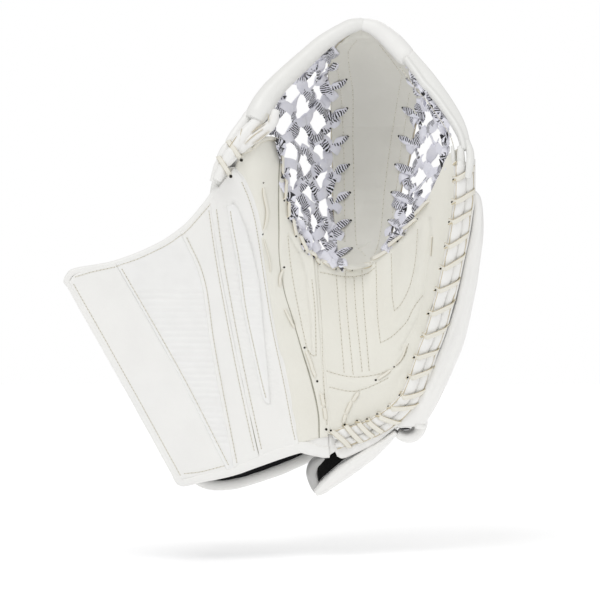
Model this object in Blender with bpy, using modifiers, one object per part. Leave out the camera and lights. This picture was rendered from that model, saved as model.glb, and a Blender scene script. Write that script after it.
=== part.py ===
"""A hockey goalkeeper's catch glove, left hand, resting open with the pocket up. Metres, +Z up, palm facing -Y.

The origin is the middle of the wrist opening. Outlines are laid out in millimetres across the open face of the
glove: x to the finger side, w up the face, and y back from the palm. The face leans back by FACE_LEAN."""
import math

import bpy
import numpy as np

MM = 0.001
FACE_LEAN = math.radians(6.0)
WRIST_DEPTH = 35.0
SPINE_DEPTH = 13.5
POCKET_DEPTH = 104.0
LEATHER = 2.0
LAYER_GAP = 1.7
FELT = 6.0
BOARD = 4.0
LINING = 1.4
TOP_ROLL_RADIUS = 8.4
RIM_ROLL_RADIUS = 4.0
RIM_ROLL_SPACING = 8.8
RIM_LACE_TURNS = 20
LACE_WIDTH = 4.2
LACE_THICKNESS = 1.0
CORD_RADIUS = 1.4
NET_THICKNESS = 3.0
FINGER_RADIUS = 8.4
THUMB_RADIUS = 11.0
STRAP_THICKNESS = 9.0

CUFF_LEFT = [(-75, -50), (-122, 36), (-168, 118)]
CUFF_TOP = [(-168, 118), (-162, 124), (-134, 129), (-110, 137), (-87, 148), (-68, 162), (-53, 179),
            (-41, 196), (-29, 212)]
CUFF_BOTTOM = [(-75, -50), (-60, -48), (-36, -42), (-9, -31), (25, -20), (42, -15)]
SEAM_BAND = [(-36, -42), (-78, 40), (-129, 130)]
SEAM_RIB = [(-30, -40), (-49, 60), (-58, 119), (-74, 157)]
SEAM_GROOVE = [(-9, -31), (-25, 43), (-41, 128), (-49, 184)]
SEAM_STRIP = [(4, -27), (3, 17), (-2, 60), (-7, 117), (-20, 170), (-37, 202)]
SEAM_THUMB = [(25, -20), (22, -8), (14, 34), (5, 76), (-2, 119), (-7, 153), (-12, 178), (-21, 202),
              (-29, 212)]
THUMB_TOP = [(-29, 212), (-25, 224), (-17, 234), (-7, 240), (2, 239), (9, 229)]
BREAK_GROOVE = [(42, -15), (41, 7), (35, 34), (27, 60), (19, 87), (12, 110), (8, 138), (8, 162), (8, 196),
                (9, 229)]
THUMB_CROTCH = [(37, 139), (29, 158), (23, 173), (18, 191), (14, 208), (12, 229)]
CROTCH = [(39, 138), (48, 132), (57, 128), (71, 127), (88, 133), (101, 144), (110, 153), (123, 167), (137, 186),
          (144, 202)]
PALM_OUTER = [(99.5, 13.5), (109, 26), (114, 39), (120, 57), (127, 76), (133, 96), (138, 114), (141, 132),
              (145, 151), (149, 171), (150, 186), (151, 201)]
PALM_HEEL = [(52, -10), (61, 0), (71, 3), (80, 4.5), (89, 8.5), (96.6, 14.3)]
RIM_PATH = [(62, -13), (72, -11), (84, -7), (95, -1), (107, 8), (119, 22), (126, 40), (132, 58), (139, 76),
            (145, 97), (150, 116), (154, 135), (158, 154), (161, 174), (163, 190), (163, 221)]
ROLL_LEFT = [(-42, 217), (-38, 226), (-30, 240), (-20, 255), (-7, 274), (11, 293), (32, 313), (55, 328),
             (77, 333.5)]
ROLL_RIGHT = [(81, 333.5), (98, 328), (116, 312)]
WELT = [(119, 309), (132, 290), (144, 268), (155, 245), (162, 229)]
RIM_LEFT = [(38, 141), (29, 160), (22, 176), (18, 191), (14, 212), (11, 236), (4, 250), (6, 262), (14, 280),
            (26, 295), (42, 309), (60, 319)]
RIM_RIGHT = [(98, 147), (110, 158), (123, 172), (137, 191), (144, 210), (148, 232), (145, 250), (138, 265),
             (129, 280), (119, 295), (106, 310), (96, 319)]
T_LEFT = [(60, 137), (58, 153), (56, 174), (55, 196), (55, 218), (54, 243), (54, 257), (52, 281), (48, 298),
          (66, 313)]
T_RIGHT = [(94, 146), (99, 156), (102, 174), (105, 196), (109, 218), (113, 242), (116, 266), (117, 288),
           (113, 298), (95, 313)]
RIB_TOP = [(-129, 130.5), (-110, 137), (-87, 148), (-74, 157)]
MIDDLE_TOP = [(-74, 157), (-68, 162), (-53, 179), (-49, 184)]
NET_LEFT_RIM = [(42, 146), (31, 164), (25, 178), (21, 193), (17, 213), (14, 237), (8, 250), (10, 262),
                (17, 279), (28, 293)]
NET_LEFT_T = [(52, 143), (49, 154), (47.5, 175), (46.5, 197), (46.5, 219), (45.5, 243), (45.5, 257),
              (43.5, 280), (41, 294)]
NET_RIGHT_T = [(104, 156), (108.5, 162), (112, 176), (115, 197), (119, 218), (122.5, 242), (125, 262),
               (125, 275)]
NET_RIGHT_RIM = [(108, 160), (120, 172), (133, 191), (140, 210), (143, 232), (141, 248), (135, 262),
                 (129, 275)]
SIDE_LEVELS_LEFT = [137, 160, 190, 212, 236, 250, 290, 321]
SIDE_DEPTHS_LEFT = [12, 8, 0, -6, -12, -14, 2, 16]
SIDE_LEVELS_RIGHT = [128, 148, 158, 173, 187, 204, 225, 250, 290, 321]
SIDE_DEPTHS_RIGHT = [30, 23, 12, -1, -16, -27, -33, -30, -6, 16]


def clear_scene():
    for obj in list(bpy.data.objects):
        bpy.data.objects.remove(obj)


def ease(low, high, value):
    """0 below low, 1 above high and a smooth rise between them."""
    t = np.clip((value - low) / (high - low), 0, 1)
    return t * t * (3 - 2 * t)


def spine_x(w):
    """The line where the thumb side folds onto the finger side."""
    return 50 - 0.08 * (w + 14)


def face_depth(x, w):
    """How far back the front of the glove is: the cuff and thumb left of the spine, the palm right of it."""
    d = abs(x - spine_x(w))
    if x < spine_x(w):
        return SPINE_DEPTH - 0.20 * d - 26 * ease(95, 225, w) * ease(0, 45, d)
    hollow = 14 * ease(50, 135, w) * math.exp(-(((x - 82) / 34) ** 2))
    curl = 15 * ease(60, 200, w) * ease(60, 120, d)
    return SPINE_DEPTH + 0.30 * d - 0.0050 * d * d + hollow - curl


def side_depth(w, side):
    """The depth of the pocket's left or right edge."""
    if side < 0:
        return np.interp(w, SIDE_LEVELS_LEFT, SIDE_DEPTHS_LEFT)
    return np.interp(w, SIDE_LEVELS_RIGHT, SIDE_DEPTHS_RIGHT)


def edge_at(edge, w):
    return np.interp(w, [p[1] for p in edge], [p[0] for p in edge])


def web_depth(x, w):
    """The pocket's bowl, deepest behind the middle of the T."""
    left = edge_at(RIM_LEFT, w)
    right = edge_at(RIM_RIGHT, max(w, 147))
    s = np.clip((x - left) / (right - left), 0, 1)
    rise = np.clip((w - 130) / 194, 0, 1)
    bowl = POCKET_DEPTH * math.sin(math.pi * rise) ** 0.92 * (4 * s * (1 - s)) ** 0.8
    return (1 - s) * side_depth(w, -1) + s * side_depth(w, 1) + bowl


def place(x, w, y):
    """A point of the layout in the glove's own frame."""
    back = y - WRIST_DEPTH
    return (x * MM, back * MM, (w - back * math.sin(FACE_LEAN)) / math.cos(FACE_LEAN) * MM)


def on_face(x, w, off=0.0, depth=face_depth):
    """A point off millimetres behind the surface, along its normal."""
    slope_x = (depth(x + 1, w) - depth(x - 1, w)) / 2
    slope_w = (depth(x, w + 1) - depth(x, w - 1)) / 2
    k = off / math.sqrt(1 + slope_x**2 + slope_w**2)
    return place(x - slope_x * k, w - slope_w * k, depth(x, w) + k)


def on_web(x, w, off=0.0):
    return on_face(x, w, off, web_depth)


def resample(points, count, smooth=True):
    """count + 1 points spaced evenly along a line through the given ones, rounded unless smooth is off."""
    p = np.array(points, float)
    if smooth and len(p) > 2:
        ends = np.vstack([2 * p[0] - p[1], p, 2 * p[-1] - p[-2]])
        t = np.linspace(0, 1, 8, endpoint=False)[:, None]
        bits = []
        for a, b, c, d in zip(ends, ends[1:], ends[2:], ends[3:], strict=False):
            square = (2 * a - 5 * b + 4 * c - d) * t**2
            cube = (3 * b - a - 3 * c + d) * t**3
            bits.append(0.5 * (2 * b + (c - a) * t + square + cube))
        p = np.vstack([*bits, p[-1:]])
    length = np.concatenate([[0], np.cumsum(np.linalg.norm(np.diff(p, axis=0), axis=1))])
    wanted = np.linspace(0, length[-1], count + 1)
    return np.stack([np.interp(wanted, length, p[:, k]) for k in range(p.shape[1])], axis=1)


def shifted(points, dx=0.0, dw=0.0):
    return [(x + dx, w + dw) for x, w in points]


def patch(left, right, nu, nv, bottom=None, top=None):
    """A grid of layout points between a left and a right edge, which run upwards, with curved ends if given."""
    lefts = resample(left, nv)
    rights = resample(right, nv)
    u = np.linspace(0, 1, nu + 1)[:, None]
    low = (1 - u) * lefts[0] + u * rights[0]
    high = (1 - u) * lefts[-1] + u * rights[-1]
    sag_low = resample(bottom, nu) - low if bottom else 0 * low
    sag_high = resample(top, nu) - high if top else 0 * high
    rows = []
    for j in range(nv + 1):
        v = j / nv
        straight = (1 - u) * lefts[j] + u * rights[j]
        rows.append(straight + (1 - v) * sag_low + v * sag_high)
    return rows


def finish(name, data, colour, roughness, collection):
    obj = bpy.data.objects.new(name, data)
    collection.objects.link(obj)
    material = bpy.data.materials.new(name)
    material.use_nodes = True
    shader = material.node_tree.nodes["Principled BSDF"]
    shader.inputs["Base Color"].default_value = (*colour, 1)
    shader.inputs["Roughness"].default_value = roughness
    data.materials.append(material)
    return obj


def thicken(obj, thickness):
    """Solidify away from the side that the faces look to."""
    modifier = obj.modifiers.new("Thickness", "SOLIDIFY")
    modifier.thickness = thickness * MM
    modifier.offset = -1
    return obj


def grid_object(name, rows, thickness, look, closed=False):
    """An open grid of points, given thickness. The rows run upwards and each row runs to the right."""
    count = len(rows[0])
    verts = [tuple(p) for row in rows for p in row]
    faces = []
    for j in range(len(rows) - 1):
        for i in range(count if closed else count - 1):
            k = (i + 1) % count
            faces.append((j * count + i, j * count + k, (j + 1) * count + k, (j + 1) * count + i))
    mesh = bpy.data.meshes.new(name)
    mesh.from_pydata(verts, [], faces)
    return thicken(finish(name, mesh, *look), thickness)


def face_panel(name, grid, off, thickness, look, surface=on_face, puff=0.0):
    """A panel lying off millimetres behind the surface. Puff lifts its middle towards the front."""
    rows = []
    for j, row in enumerate(grid):
        lift_j = math.sin(math.pi * j / (len(grid) - 1))
        points = []
        for i, (x, w) in enumerate(row):
            lift = puff * lift_j * math.sin(math.pi * i / (len(row) - 1))
            points.append(surface(x, w, off - lift))
        rows.append(points)
    return grid_object(name, rows, thickness, look)


def cord(name, points, radius, look, sides=1):
    """A round cord through points in the glove's frame."""
    curve = bpy.data.curves.new(name, "CURVE")
    curve.dimensions = "3D"
    curve.bevel_depth = radius * MM
    curve.bevel_resolution = sides
    curve.use_fill_caps = True
    spline = curve.splines.new("POLY")
    spline.points.add(len(points) - 1)
    for point, target in zip(spline.points, points, strict=True):
        point.co = (*target, 1)
    return finish(name, curve, *look)


def frames(path, across):
    """Along, across and away directions at each point of a path, from a rough across direction."""
    p = np.array(path)
    along = np.gradient(p, axis=0)
    along /= np.linalg.norm(along, axis=1)[:, None]
    side = np.array(across) - along * np.sum(np.array(across) * along, axis=1)[:, None]
    side /= np.linalg.norm(side, axis=1)[:, None]
    return along, side, np.cross(along, side)


def wound_lace(name, path, across, half_width, half_depth, turns, look):
    """A flat lace wound round a bundle that follows the path."""
    count = turns * 8
    p = resample(path, count, smooth=False)
    along, side, away = frames(p, across)
    rows = []
    for k in range(count + 1):
        angle = 2 * math.pi * turns * k / count
        a = half_width * MM * math.cos(angle)
        b = half_depth * MM * math.sin(angle)
        middle = p[k] + side[k] * a + away[k] * b
        half = along[k] * LACE_WIDTH * MM / 2
        rows.append([middle - half, middle + half])
    return grid_object(name, rows, LACE_THICKNESS, look)


def sleeve(name, path, across, radius, wall, look):
    """A finger sleeve: open at its first end and closed over at its last."""
    p = np.array(path)
    _, side, away = frames(p, across)
    sizes = np.interp(np.linspace(0, 1, len(p)), [0, 0.8, 0.95, 1], [1.05, 0.95, 0.7, 0.3])
    rows = []
    for k, size in enumerate(sizes):
        ring = []
        for i in range(10):
            angle = -2 * math.pi * i / 10
            ring.append(p[k] + (side[k] * math.cos(angle) + away[k] * math.sin(angle)) * radius * size * MM)
        rows.append(ring)
    obj = grid_object(name, rows, wall, look, closed=True)
    mesh = obj.data
    verts = [v.co[:] for v in mesh.vertices] + [tuple(p[-1] + (p[-1] - p[-2]) * 0.25)]
    faces = [tuple(f.vertices) for f in mesh.polygons]
    last = (len(p) - 1) * 10
    faces += [(last + i, last + (i + 1) % 10, len(verts) - 1) for i in range(10)]
    mesh.clear_geometry()
    mesh.from_pydata(verts, [], faces)
    return obj


def net(name, left, right, bottom, top, columns, rows, look):
    """Knotted netting: a lattice of diamonds with a straight selvage."""
    levels = 2 * rows
    grid = patch(left, right, 2 * columns, levels, bottom, top)
    index = {}
    verts = []
    for level in range(levels + 1):
        for half in range(level % 2, 2 * columns + 1, 2):
            index[level, half] = len(verts)
            x, w = grid[level][half]
            verts.append(on_web(x, w, 2.0))
    faces = []
    for level in range(levels - 1):
        for half in range(level % 2, 2 * columns + 1, 2):
            corners = [(level, half), (level + 1, half + 1), (level + 2, half), (level + 1, half - 1)]
            faces.append([index[c] for c in corners if c in index])
    for half in range(0, 2 * columns, 2):
        faces.append([index[0, half], index[0, half + 2], index[1, half + 1]])
        faces.append([index[levels, half + 2], index[levels, half], index[levels - 1, half + 1]])
    mesh = bpy.data.meshes.new(name)
    mesh.from_pydata(verts, [], faces)
    obj = finish(name, mesh, *look)
    modifier = obj.modifiers.new("Strands", "WIREFRAME")
    modifier.thickness = NET_THICKNESS * MM
    modifier.use_even_offset = False
    modifier.use_boundary = True
    return obj


def face_path(points, count, off=0.0, surface=on_face, dx=0.0, dw=0.0):
    return [surface(x + dx, w + dw, off) for x, w in resample(points, count)]


def looks(collection):
    return {
        "white": ((0.82, 0.82, 0.80), 0.42, collection),
        "ivory": ((0.80, 0.78, 0.71), 0.45, collection),
        "textile": ((0.84, 0.84, 0.85), 0.80, collection),
        "lace": ((0.78, 0.75, 0.66), 0.55, collection),
        "net": ((0.80, 0.80, 0.86), 0.70, collection),
        "felt": ((0.55, 0.54, 0.50), 0.95, collection),
        "board": ((0.60, 0.60, 0.60), 0.50, collection),
        "black": ((0.02, 0.02, 0.02), 0.90, collection),
        "hook": ((0.03, 0.03, 0.03), 0.95, collection),
    }


def build_cuff(look):
    """The cuff's face, from the outer band to the seam where the thumb begins, with its board and lining."""
    face_panel("cuff_outer_band", patch(CUFF_LEFT, shifted(SEAM_BAND, -0.4), 3, 9), 0, LEATHER, look["white"])
    rib = patch(shifted(SEAM_BAND, 0.4), shifted(SEAM_RIB, -0.4), 5, 9, None, RIB_TOP)
    face_panel("cuff_rib_panel", rib, 0, LEATHER, look["textile"])
    middle = patch(shifted(SEAM_RIB, 0.4), shifted(SEAM_GROOVE, -0.5), 3, 9, None, MIDDLE_TOP)
    face_panel("cuff_middle_panel", middle, 0, LEATHER, look["white"])
    strip = patch(shifted(SEAM_GROOVE, 0.5), shifted(SEAM_STRIP, -0.4), 4, 9)
    face_panel("cuff_loop_panel", strip, 0, LEATHER, look["white"])
    inner = patch(shifted(SEAM_STRIP, 0.4), shifted(SEAM_THUMB, -0.4), 3, 9)
    face_panel("cuff_inner_panel", inner, 0, LEATHER, look["white"])
    whole = patch(shifted(CUFF_LEFT, 3), shifted(SEAM_THUMB, -4), 10, 10, [(-72, -47), (-36, -39), (21, -19)],
                  [(-165, 118), (-134, 126), (-87, 144), (-55, 173), (-33, 208)])
    face_panel("cuff_board", whole, LEATHER + LAYER_GAP, BOARD, look["board"])
    face_panel("cuff_lining", whole, LEATHER + BOARD + 2 * LAYER_GAP, LINING, look["black"])
    left = resample(CUFF_LEFT, 6)[::-1][1:-1].tolist()
    edge = [*CUFF_TOP[::-1][1:-1], (-167, 121), (-169, 117), *left, (-76, -49), (-73, -51), *CUFF_BOTTOM[1:-1]]
    around = []
    for (x, w), (nx, nw) in zip(edge, outward(edge), strict=True):
        around.append(on_face(x + nx * 3.1, w + nw * 3.1, 2.0))
    cord("cuff_binding", around, 2.3, look["white"])


def outward(edge):
    """Unit vectors square to a line, to the right of its direction of travel."""
    p = np.array(edge, float)
    step = np.gradient(p, axis=0)
    step /= np.linalg.norm(step, axis=1)[:, None]
    return np.stack([step[:, 1], -step[:, 0]], axis=1)


def build_thumb(look):
    """The thumb side from its seam to the spine, with the sleeve that holds the thumb and its rear guard."""
    face = patch(shifted(SEAM_THUMB, 0.4), shifted(BREAK_GROOVE, -0.5), 4, 12, None, THUMB_TOP)
    face_panel("thumb_face", face, 0, LEATHER, look["ivory"], puff=0.5)
    spine = [(spine_x(w) - 0.6, w) for w in (-14, 60, 137)]
    inner_right = [*spine, *THUMB_CROTCH[1:]]
    inner = patch(shifted(BREAK_GROOVE, 0.5), inner_right, 3, 12)
    face_panel("thumb_crotch_panel", inner, 0, LEATHER, look["ivory"])
    pad = patch(shifted(SEAM_THUMB, 4), shifted(BREAK_GROOVE, -3), 3, 12, None, shifted(THUMB_TOP, 0, -4))
    face_panel("thumb_pad", pad, LEATHER + LAYER_GAP, FELT, look["felt"])
    path = [on_face(x, w, 27) for x, w in resample([(16, 70), (6, 120), (-4, 165), (-12, 212)], 7)]
    sleeve("thumb_stall", path, (1, 0, 0), THUMB_RADIUS, 1.5, look["black"])
    rows = []
    for x, w in resample([(16, 62), (5, 115), (-6, 165), (-15, 224)], 9):
        row = []
        grow = 1 - 0.25 * ease(195, 225, w)
        for angle in np.linspace(math.radians(175), math.radians(5), 9):
            out = 22 * grow * math.cos(angle)
            row.append(on_face(x + out, w, 27 + 21 * grow * math.sin(angle)))
        rows.append(row[::-1])
    grid_object("thumb_rear_guard", rows, -3.0, look["white"])
    wrap = [roll_point(x, w) for x, w in [(-44, 212), (-41, 219), (-37, 227.5), (-32.5, 236)]]
    wound_lace("thumb_tip_lace", wrap, (0.85, 0, -0.5), 10.2, 10.2, 2, look["lace"])
    across = [(6, 118), (12, 106), (14, 99), (22, 80), (28, 66), (37, 44)]
    cord("break_lace", face_path(across, 12, -1.9), 1.2, look["lace"])
    stitch = [(18, 191), (22, 178), (28, 163), (36, 145)]
    cord("thumb_edge_lace", face_path(stitch, 10, -1.9, dx=-3.5), 1.3, look["lace"])


def roll_point(x, w):
    """A point on the middle line of the padded top roll."""
    if x < 79:
        return place(x, w, -30 + 44 * ease(205, 338, w))
    return place(x, w, -44 + 58 * ease(205, 338, w))


def build_palm(look):
    """The palm face with its padding and lining, and the hidden retaining strap across the fingers."""
    spine = [(spine_x(w) + 0.6, w) for w in (-12, 60, 138)]
    face = patch(spine, shifted(PALM_OUTER, -2.9, 0.8), 9, 12, PALM_HEEL, CROTCH[:-1] + [(142, 201)])
    face_panel("palm_face", face, 0, LEATHER, look["ivory"])
    inner_left = [(spine_x(w) + 3, w) for w in (2, 60, 130)]
    felt = patch(inner_left, shifted(PALM_OUTER, -4, -3), 8, 11, [(53, 2), (72, 8), (96, 9)],
                 [(41, 130), (57, 121), (71, 120), (88, 126), (110, 146), (137, 179), (147, 197)])
    face_panel("palm_felt", felt, LEATHER + LAYER_GAP, FELT, look["felt"])
    face_panel("palm_lining", felt, LEATHER + FELT + 2 * LAYER_GAP, LINING, look["black"])


def build_rim(look):
    """The two padded rolls along the finger side and the lace wound round both."""
    path = np.array(face_path(RIM_PATH, 26, -1.0))
    side, away = rim_directions(path)
    for name, sign in (("rim_roll_inner", 1), ("rim_roll_outer", -1)):
        points = path + side * sign * RIM_ROLL_SPACING / 2 * MM
        cord(name, points.tolist(), RIM_ROLL_RADIUS, look["white"], sides=2)
    half_width = RIM_ROLL_SPACING / 2 + RIM_ROLL_RADIUS + 1.6
    count = RIM_LACE_TURNS * 10
    p = resample(path, count, smooth=False)
    side, away = rim_directions(p)
    along = np.gradient(p, axis=0)
    along /= np.linalg.norm(along, axis=1)[:, None]
    rows = []
    for k in range(4, count - 3):
        angle = 2 * math.pi * RIM_LACE_TURNS * k / count
        middle = p[k] + side[k] * half_width * MM * math.cos(angle)
        middle = middle + away[k] * (RIM_ROLL_RADIUS + 1.9) * MM * math.sin(angle)
        half = along[k] * LACE_WIDTH * MM / 2
        rows.append([middle - half, middle + half])
    grid_object("rim_lace", rows, LACE_THICKNESS, look["lace"])


def rim_directions(path):
    """Across the rim, away from the palm, and square to it."""
    along = np.gradient(path, axis=0)
    along /= np.linalg.norm(along, axis=1)[:, None]
    facing = np.array([0.35, -1.0, 0.0])
    away = facing - along * (along @ facing)[:, None]
    away /= np.linalg.norm(away, axis=1)[:, None]
    return np.cross(along, away) * -1, away


def build_fingers(look):
    """Four finger sleeves side by side behind the palm, and the strap across them."""
    names = ("index_stall", "middle_stall", "ring_stall", "little_stall")
    tops = (142, 158, 156, 140)
    for number, name in enumerate(names):
        path = []
        for w in np.linspace(58, tops[number], 7):
            left = np.interp(w, [58, 120, 158], [58, 84, 103])
            right = np.interp(w, [58, 120, 158], [114, 137, 146])
            level = [on_face(x, w, 23) for x in np.linspace(left, right, 12)]
            path.append(resample(level, 3, smooth=False)[number])
        sleeve(name, path, (1, -0.5, 0), FINGER_RADIUS * (1 - 0.02 * number), 1.0, look["black"])
    rows = []
    for w in (32, 40, 48):
        rows.append([place(x, w + 0.25 * (x - 44), 70 - 0.004 * (x - 78) ** 2) for x in np.linspace(46, 108, 8)])
    grid_object("finger_strap", rows, 2.0, look["white"])


def build_back(look):
    """The guard round the back of the fingers, the flat plate on the back of the hand and the wrist guard."""
    levels = [-12, 8, 30, 55, 80, 105, 130, 155, 178, 196]
    front = [113, 134, 144, 156, 165, 170, 174, 176.5, 176.5, 174]
    rows = []
    spans = [40, 52, 58, 60, 62, 60, 54, 46, 38, 33]
    for w, x, span in zip(levels, front, spans, strict=True):
        y = face_depth(x - 8, w) + 9
        reach = 80 - y
        profile = [(x, y), (x + 3, y + 7), (x + 3, y + 0.35 * reach), (x - 2, y + 0.66 * reach)]
        profile += [(x - 0.22 * span, y + 0.90 * reach), (x - 0.58 * span, y + 1.04 * reach)]
        profile += [(x - span, y + 1.07 * reach)]
        rows.append([place(px, w, py) for px, py in resample(profile, 10)])
    grid_object("backhand_guard", rows, 4.0, look["white"])
    outline = [(-10, 12), (-14, 60), (-2, 108), (30, 122), (68, 118), (88, 104), (94, 60), (88, 14), (60, 0), (18, 0)]
    curve = bpy.data.curves.new("backhand_plate", "CURVE")
    curve.dimensions = "2D"
    curve.fill_mode = "BOTH"
    curve.extrude = 3.0 * MM
    spline = curve.splines.new("POLY")
    ring = resample([*outline, outline[0]], 30)[:-1]
    spline.points.add(len(ring) - 1)
    spline.use_cyclic_u = True
    for point, (x, w) in zip(spline.points, ring, strict=True):
        point.co = (x * MM, w * MM, 0, 1)
    plate = finish("backhand_plate", curve, *look["white"])
    plate.rotation_euler = (math.radians(90), 0, 0)
    plate.location = (0, (97 - WRIST_DEPTH) * MM, -5 * MM)
    back = patch([(6, 8), (4, 60), (6, 100)], [(70, 8), (80, 60), (80, 100)], 5, 6)
    face_panel("backhand_lining", back, 0, LINING, look["black"], surface=lambda x, w, off: place(x, w, 80 + off))
    face_panel("backhand_foam", back, 0, 5.0, look["felt"], surface=lambda x, w, off: place(x, w, 84 + off))
    lower = [(-68, -50), (-58, -58), (-44, -60), (-17, -54), (32, -41)]
    upper = [(-84, 56), (-60, 60), (-30, 46), (-4, 22)]
    wrist = patch([(-68, -50), (-90, 0), (-84, 56)], [(32, -41), (14, -12), (-4, 22)], 8, 8, lower, upper)
    face_panel("wrist_guard", wrist, 0, 4.0, look["white"], surface=wrist_surface)
    face_panel("wrist_guard_lining", wrist, -4.0, 1.2, look["black"], surface=wrist_surface)


def wrist_surface(x, w, off):
    across = 0.49 * x - 0.87 * w
    return place(x, w, 78 - 0.0045 * across * across + off)


def build_pocket(look):
    """The T web with its laces, the netting on both sides, the padded top roll and the welt beside it."""
    face = patch(T_LEFT, T_RIGHT, 4, 14)
    face_panel("t_web_face", face, 0, LEATHER, look["ivory"], surface=on_web)
    back = patch(shifted(T_LEFT, 2), shifted(T_RIGHT, -2), 4, 14)
    face_panel("t_web_back", back, LEATHER + LAYER_GAP, 3.0, look["white"], surface=on_web)
    cord("t_lace_left", face_path(T_LEFT[1:-1], 22, 1.5, on_web, dx=-3.4), CORD_RADIUS, look["lace"])
    cord("t_lace_right", face_path(T_RIGHT[1:-2], 22, 1.5, on_web, dx=3.4), CORD_RADIUS, look["lace"])
    net("net_left", NET_LEFT_RIM, NET_LEFT_T, None, None, 3, 7, look["net"])
    net("net_right", NET_RIGHT_T, NET_RIGHT_RIM, None, None, 2, 6, look["net"])
    crotch = resample(CROTCH, 24)
    above = []
    for (x, w), (nx, nw) in zip(crotch, outward(crotch), strict=True):
        above.append(on_face(x - nx * 4.0, w - nw * 4.0, 0.2))
    cord("crotch_lace", above, 1.2, look["lace"])
    left = [roll_point(x, w) for x, w in resample(ROLL_LEFT, 16)]
    cord("top_roll_left", left, TOP_ROLL_RADIUS, look["ivory"], sides=3)
    right = [roll_point(x, w) for x, w in resample(ROLL_RIGHT, 6)]
    cord("top_roll_right", right, TOP_ROLL_RADIUS, look["ivory"], sides=3)
    rows = []
    for x, w in resample(WELT, 12):
        y = -44 + 58 * ease(205, 338, w)
        profile = [(-4, -2, -3), (0, 0, -5), (5, 2, -3), (6, 3, 6)]
        rows.append([place(x + dx, w + dw, y + dy) for dx, dw, dy in profile])
    grid_object("finger_welt", rows, 3.0, look["ivory"])


def build_strap(look):
    """The padded wrist strap, which hooks under the wrist and turns up at its end."""
    path = resample([(102, -13), (88, -21), (76, -28), (64, -36), (54, -44), (45, -50), (38, -50), (32, -44)], 14)
    kinds = (("wrist_strap", 0, STRAP_THICKNESS, "white"), ("wrist_strap_lining", 1.8, 1.2, "hook"))
    for name, inside, thickness, key in kinds:
        rows = []
        for (x, w), (nx, nw) in zip(path, outward(path), strict=True):
            rows.append([place(x + nx * inside, w + nw * inside, y) for y in (14, 26, 38, 50)])
        grid_object(name, rows, thickness, look[key])


def main():
    clear_scene()
    collection = bpy.data.collections.new("goalie_catch_glove")
    bpy.context.scene.collection.children.link(collection)
    look = looks(collection)
    build_cuff(look)
    build_thumb(look)
    build_palm(look)
    build_rim(look)
    build_fingers(look)
    build_back(look)
    build_pocket(look)
    build_strap(look)


main()
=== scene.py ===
"""Looks for a hockey goalkeeper's catch glove: leather, stitching, laces, netting and padding round the
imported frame.

Outlines are in the part's layout millimetres: x across the open face to the finger side, w up the face, and
depths back from the palm. place() turns them into the frame's metres."""
import math

import bpy
import numpy as np
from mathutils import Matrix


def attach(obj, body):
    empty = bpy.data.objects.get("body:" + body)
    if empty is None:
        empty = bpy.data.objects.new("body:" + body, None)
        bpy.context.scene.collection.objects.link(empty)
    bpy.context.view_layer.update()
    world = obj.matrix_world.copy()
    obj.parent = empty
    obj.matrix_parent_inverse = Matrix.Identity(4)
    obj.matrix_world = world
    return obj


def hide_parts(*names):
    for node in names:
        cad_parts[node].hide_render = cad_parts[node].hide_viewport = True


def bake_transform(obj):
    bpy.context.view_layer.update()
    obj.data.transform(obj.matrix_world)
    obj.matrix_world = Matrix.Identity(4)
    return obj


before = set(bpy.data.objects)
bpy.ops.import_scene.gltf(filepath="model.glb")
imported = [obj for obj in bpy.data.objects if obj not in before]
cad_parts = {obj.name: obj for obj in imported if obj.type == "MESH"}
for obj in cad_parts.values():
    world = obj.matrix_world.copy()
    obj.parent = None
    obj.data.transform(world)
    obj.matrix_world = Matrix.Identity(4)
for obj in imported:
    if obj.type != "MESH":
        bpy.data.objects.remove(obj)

MM = 0.001
FRONT = (0, -1, 0)
FACE_LEAN = math.radians(6.0)
WRIST_DEPTH = 35.0
SPINE_DEPTH = 13.5
POCKET_DEPTH = 104.0
LEATHER = 1.8
FLOOR_HALF, FLOOR_Z = 1.3, -0.118
WORLD_STRENGTH = 0.68
CAMERA_FAR, PICTURE_WIDE, SENSOR = 9.0, 0.51, 36
STITCH_PITCH = 3.4
STITCH_RADIUS = 0.38
SEAM_PRESS, SEAM_WIDTH = 0.30, 1.1
HOLE_PRESS = 0.9
TICK_PITCH = 2.2
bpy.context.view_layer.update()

CUFF_LEFT = [(-75, -50), (-122, 36), (-168, 118)]
CUFF_TOP = [(-168, 118), (-162, 124), (-134, 129), (-110, 137), (-87, 148), (-68, 162), (-53, 179),
            (-41, 196), (-29, 212)]
CUFF_BOTTOM = [(-75, -50), (-60, -48), (-36, -42), (-9, -31), (25, -20), (42, -15)]
SEAM_BAND = [(-36, -42), (-78, 40), (-129, 130)]
SEAM_RIB = [(-30, -40), (-49, 60), (-58, 119), (-74, 157)]
SEAM_GROOVE = [(-9, -31), (-25, 43), (-41, 128), (-49, 184)]
SEAM_THUMB = [(25, -20), (22, -8), (14, 34), (5, 76), (-2, 119), (-7, 153), (-12, 178), (-21, 202),
              (-29, 212)]
THUMB_TOP = [(-29, 212), (-25, 224), (-17, 234), (-7, 240), (2, 239), (9, 229)]
BREAK_GROOVE = [(42, -15), (41, 7), (35, 34), (27, 60), (19, 87), (12, 110), (8, 138), (8, 162), (8, 196),
                (9, 229)]
RIM_PATH = [(52, -17), (62, -13.5), (72, -11), (84, -7), (95, -1), (107, 8), (119, 22), (126, 40), (132, 58),
            (139, 76), (145, 97), (150, 116), (154, 135), (158, 154), (161, 174), (163, 190), (163, 221)]
RIM_LEFT = [(38, 141), (29, 160), (22, 176), (18, 191), (14, 212), (11, 236), (4, 250), (6, 262), (14, 280),
            (26, 295), (42, 309), (60, 319)]
RIM_RIGHT = [(98, 147), (110, 158), (123, 172), (137, 191), (144, 210), (148, 232), (145, 250), (138, 265),
             (129, 280), (119, 295), (106, 310), (96, 319)]
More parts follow.
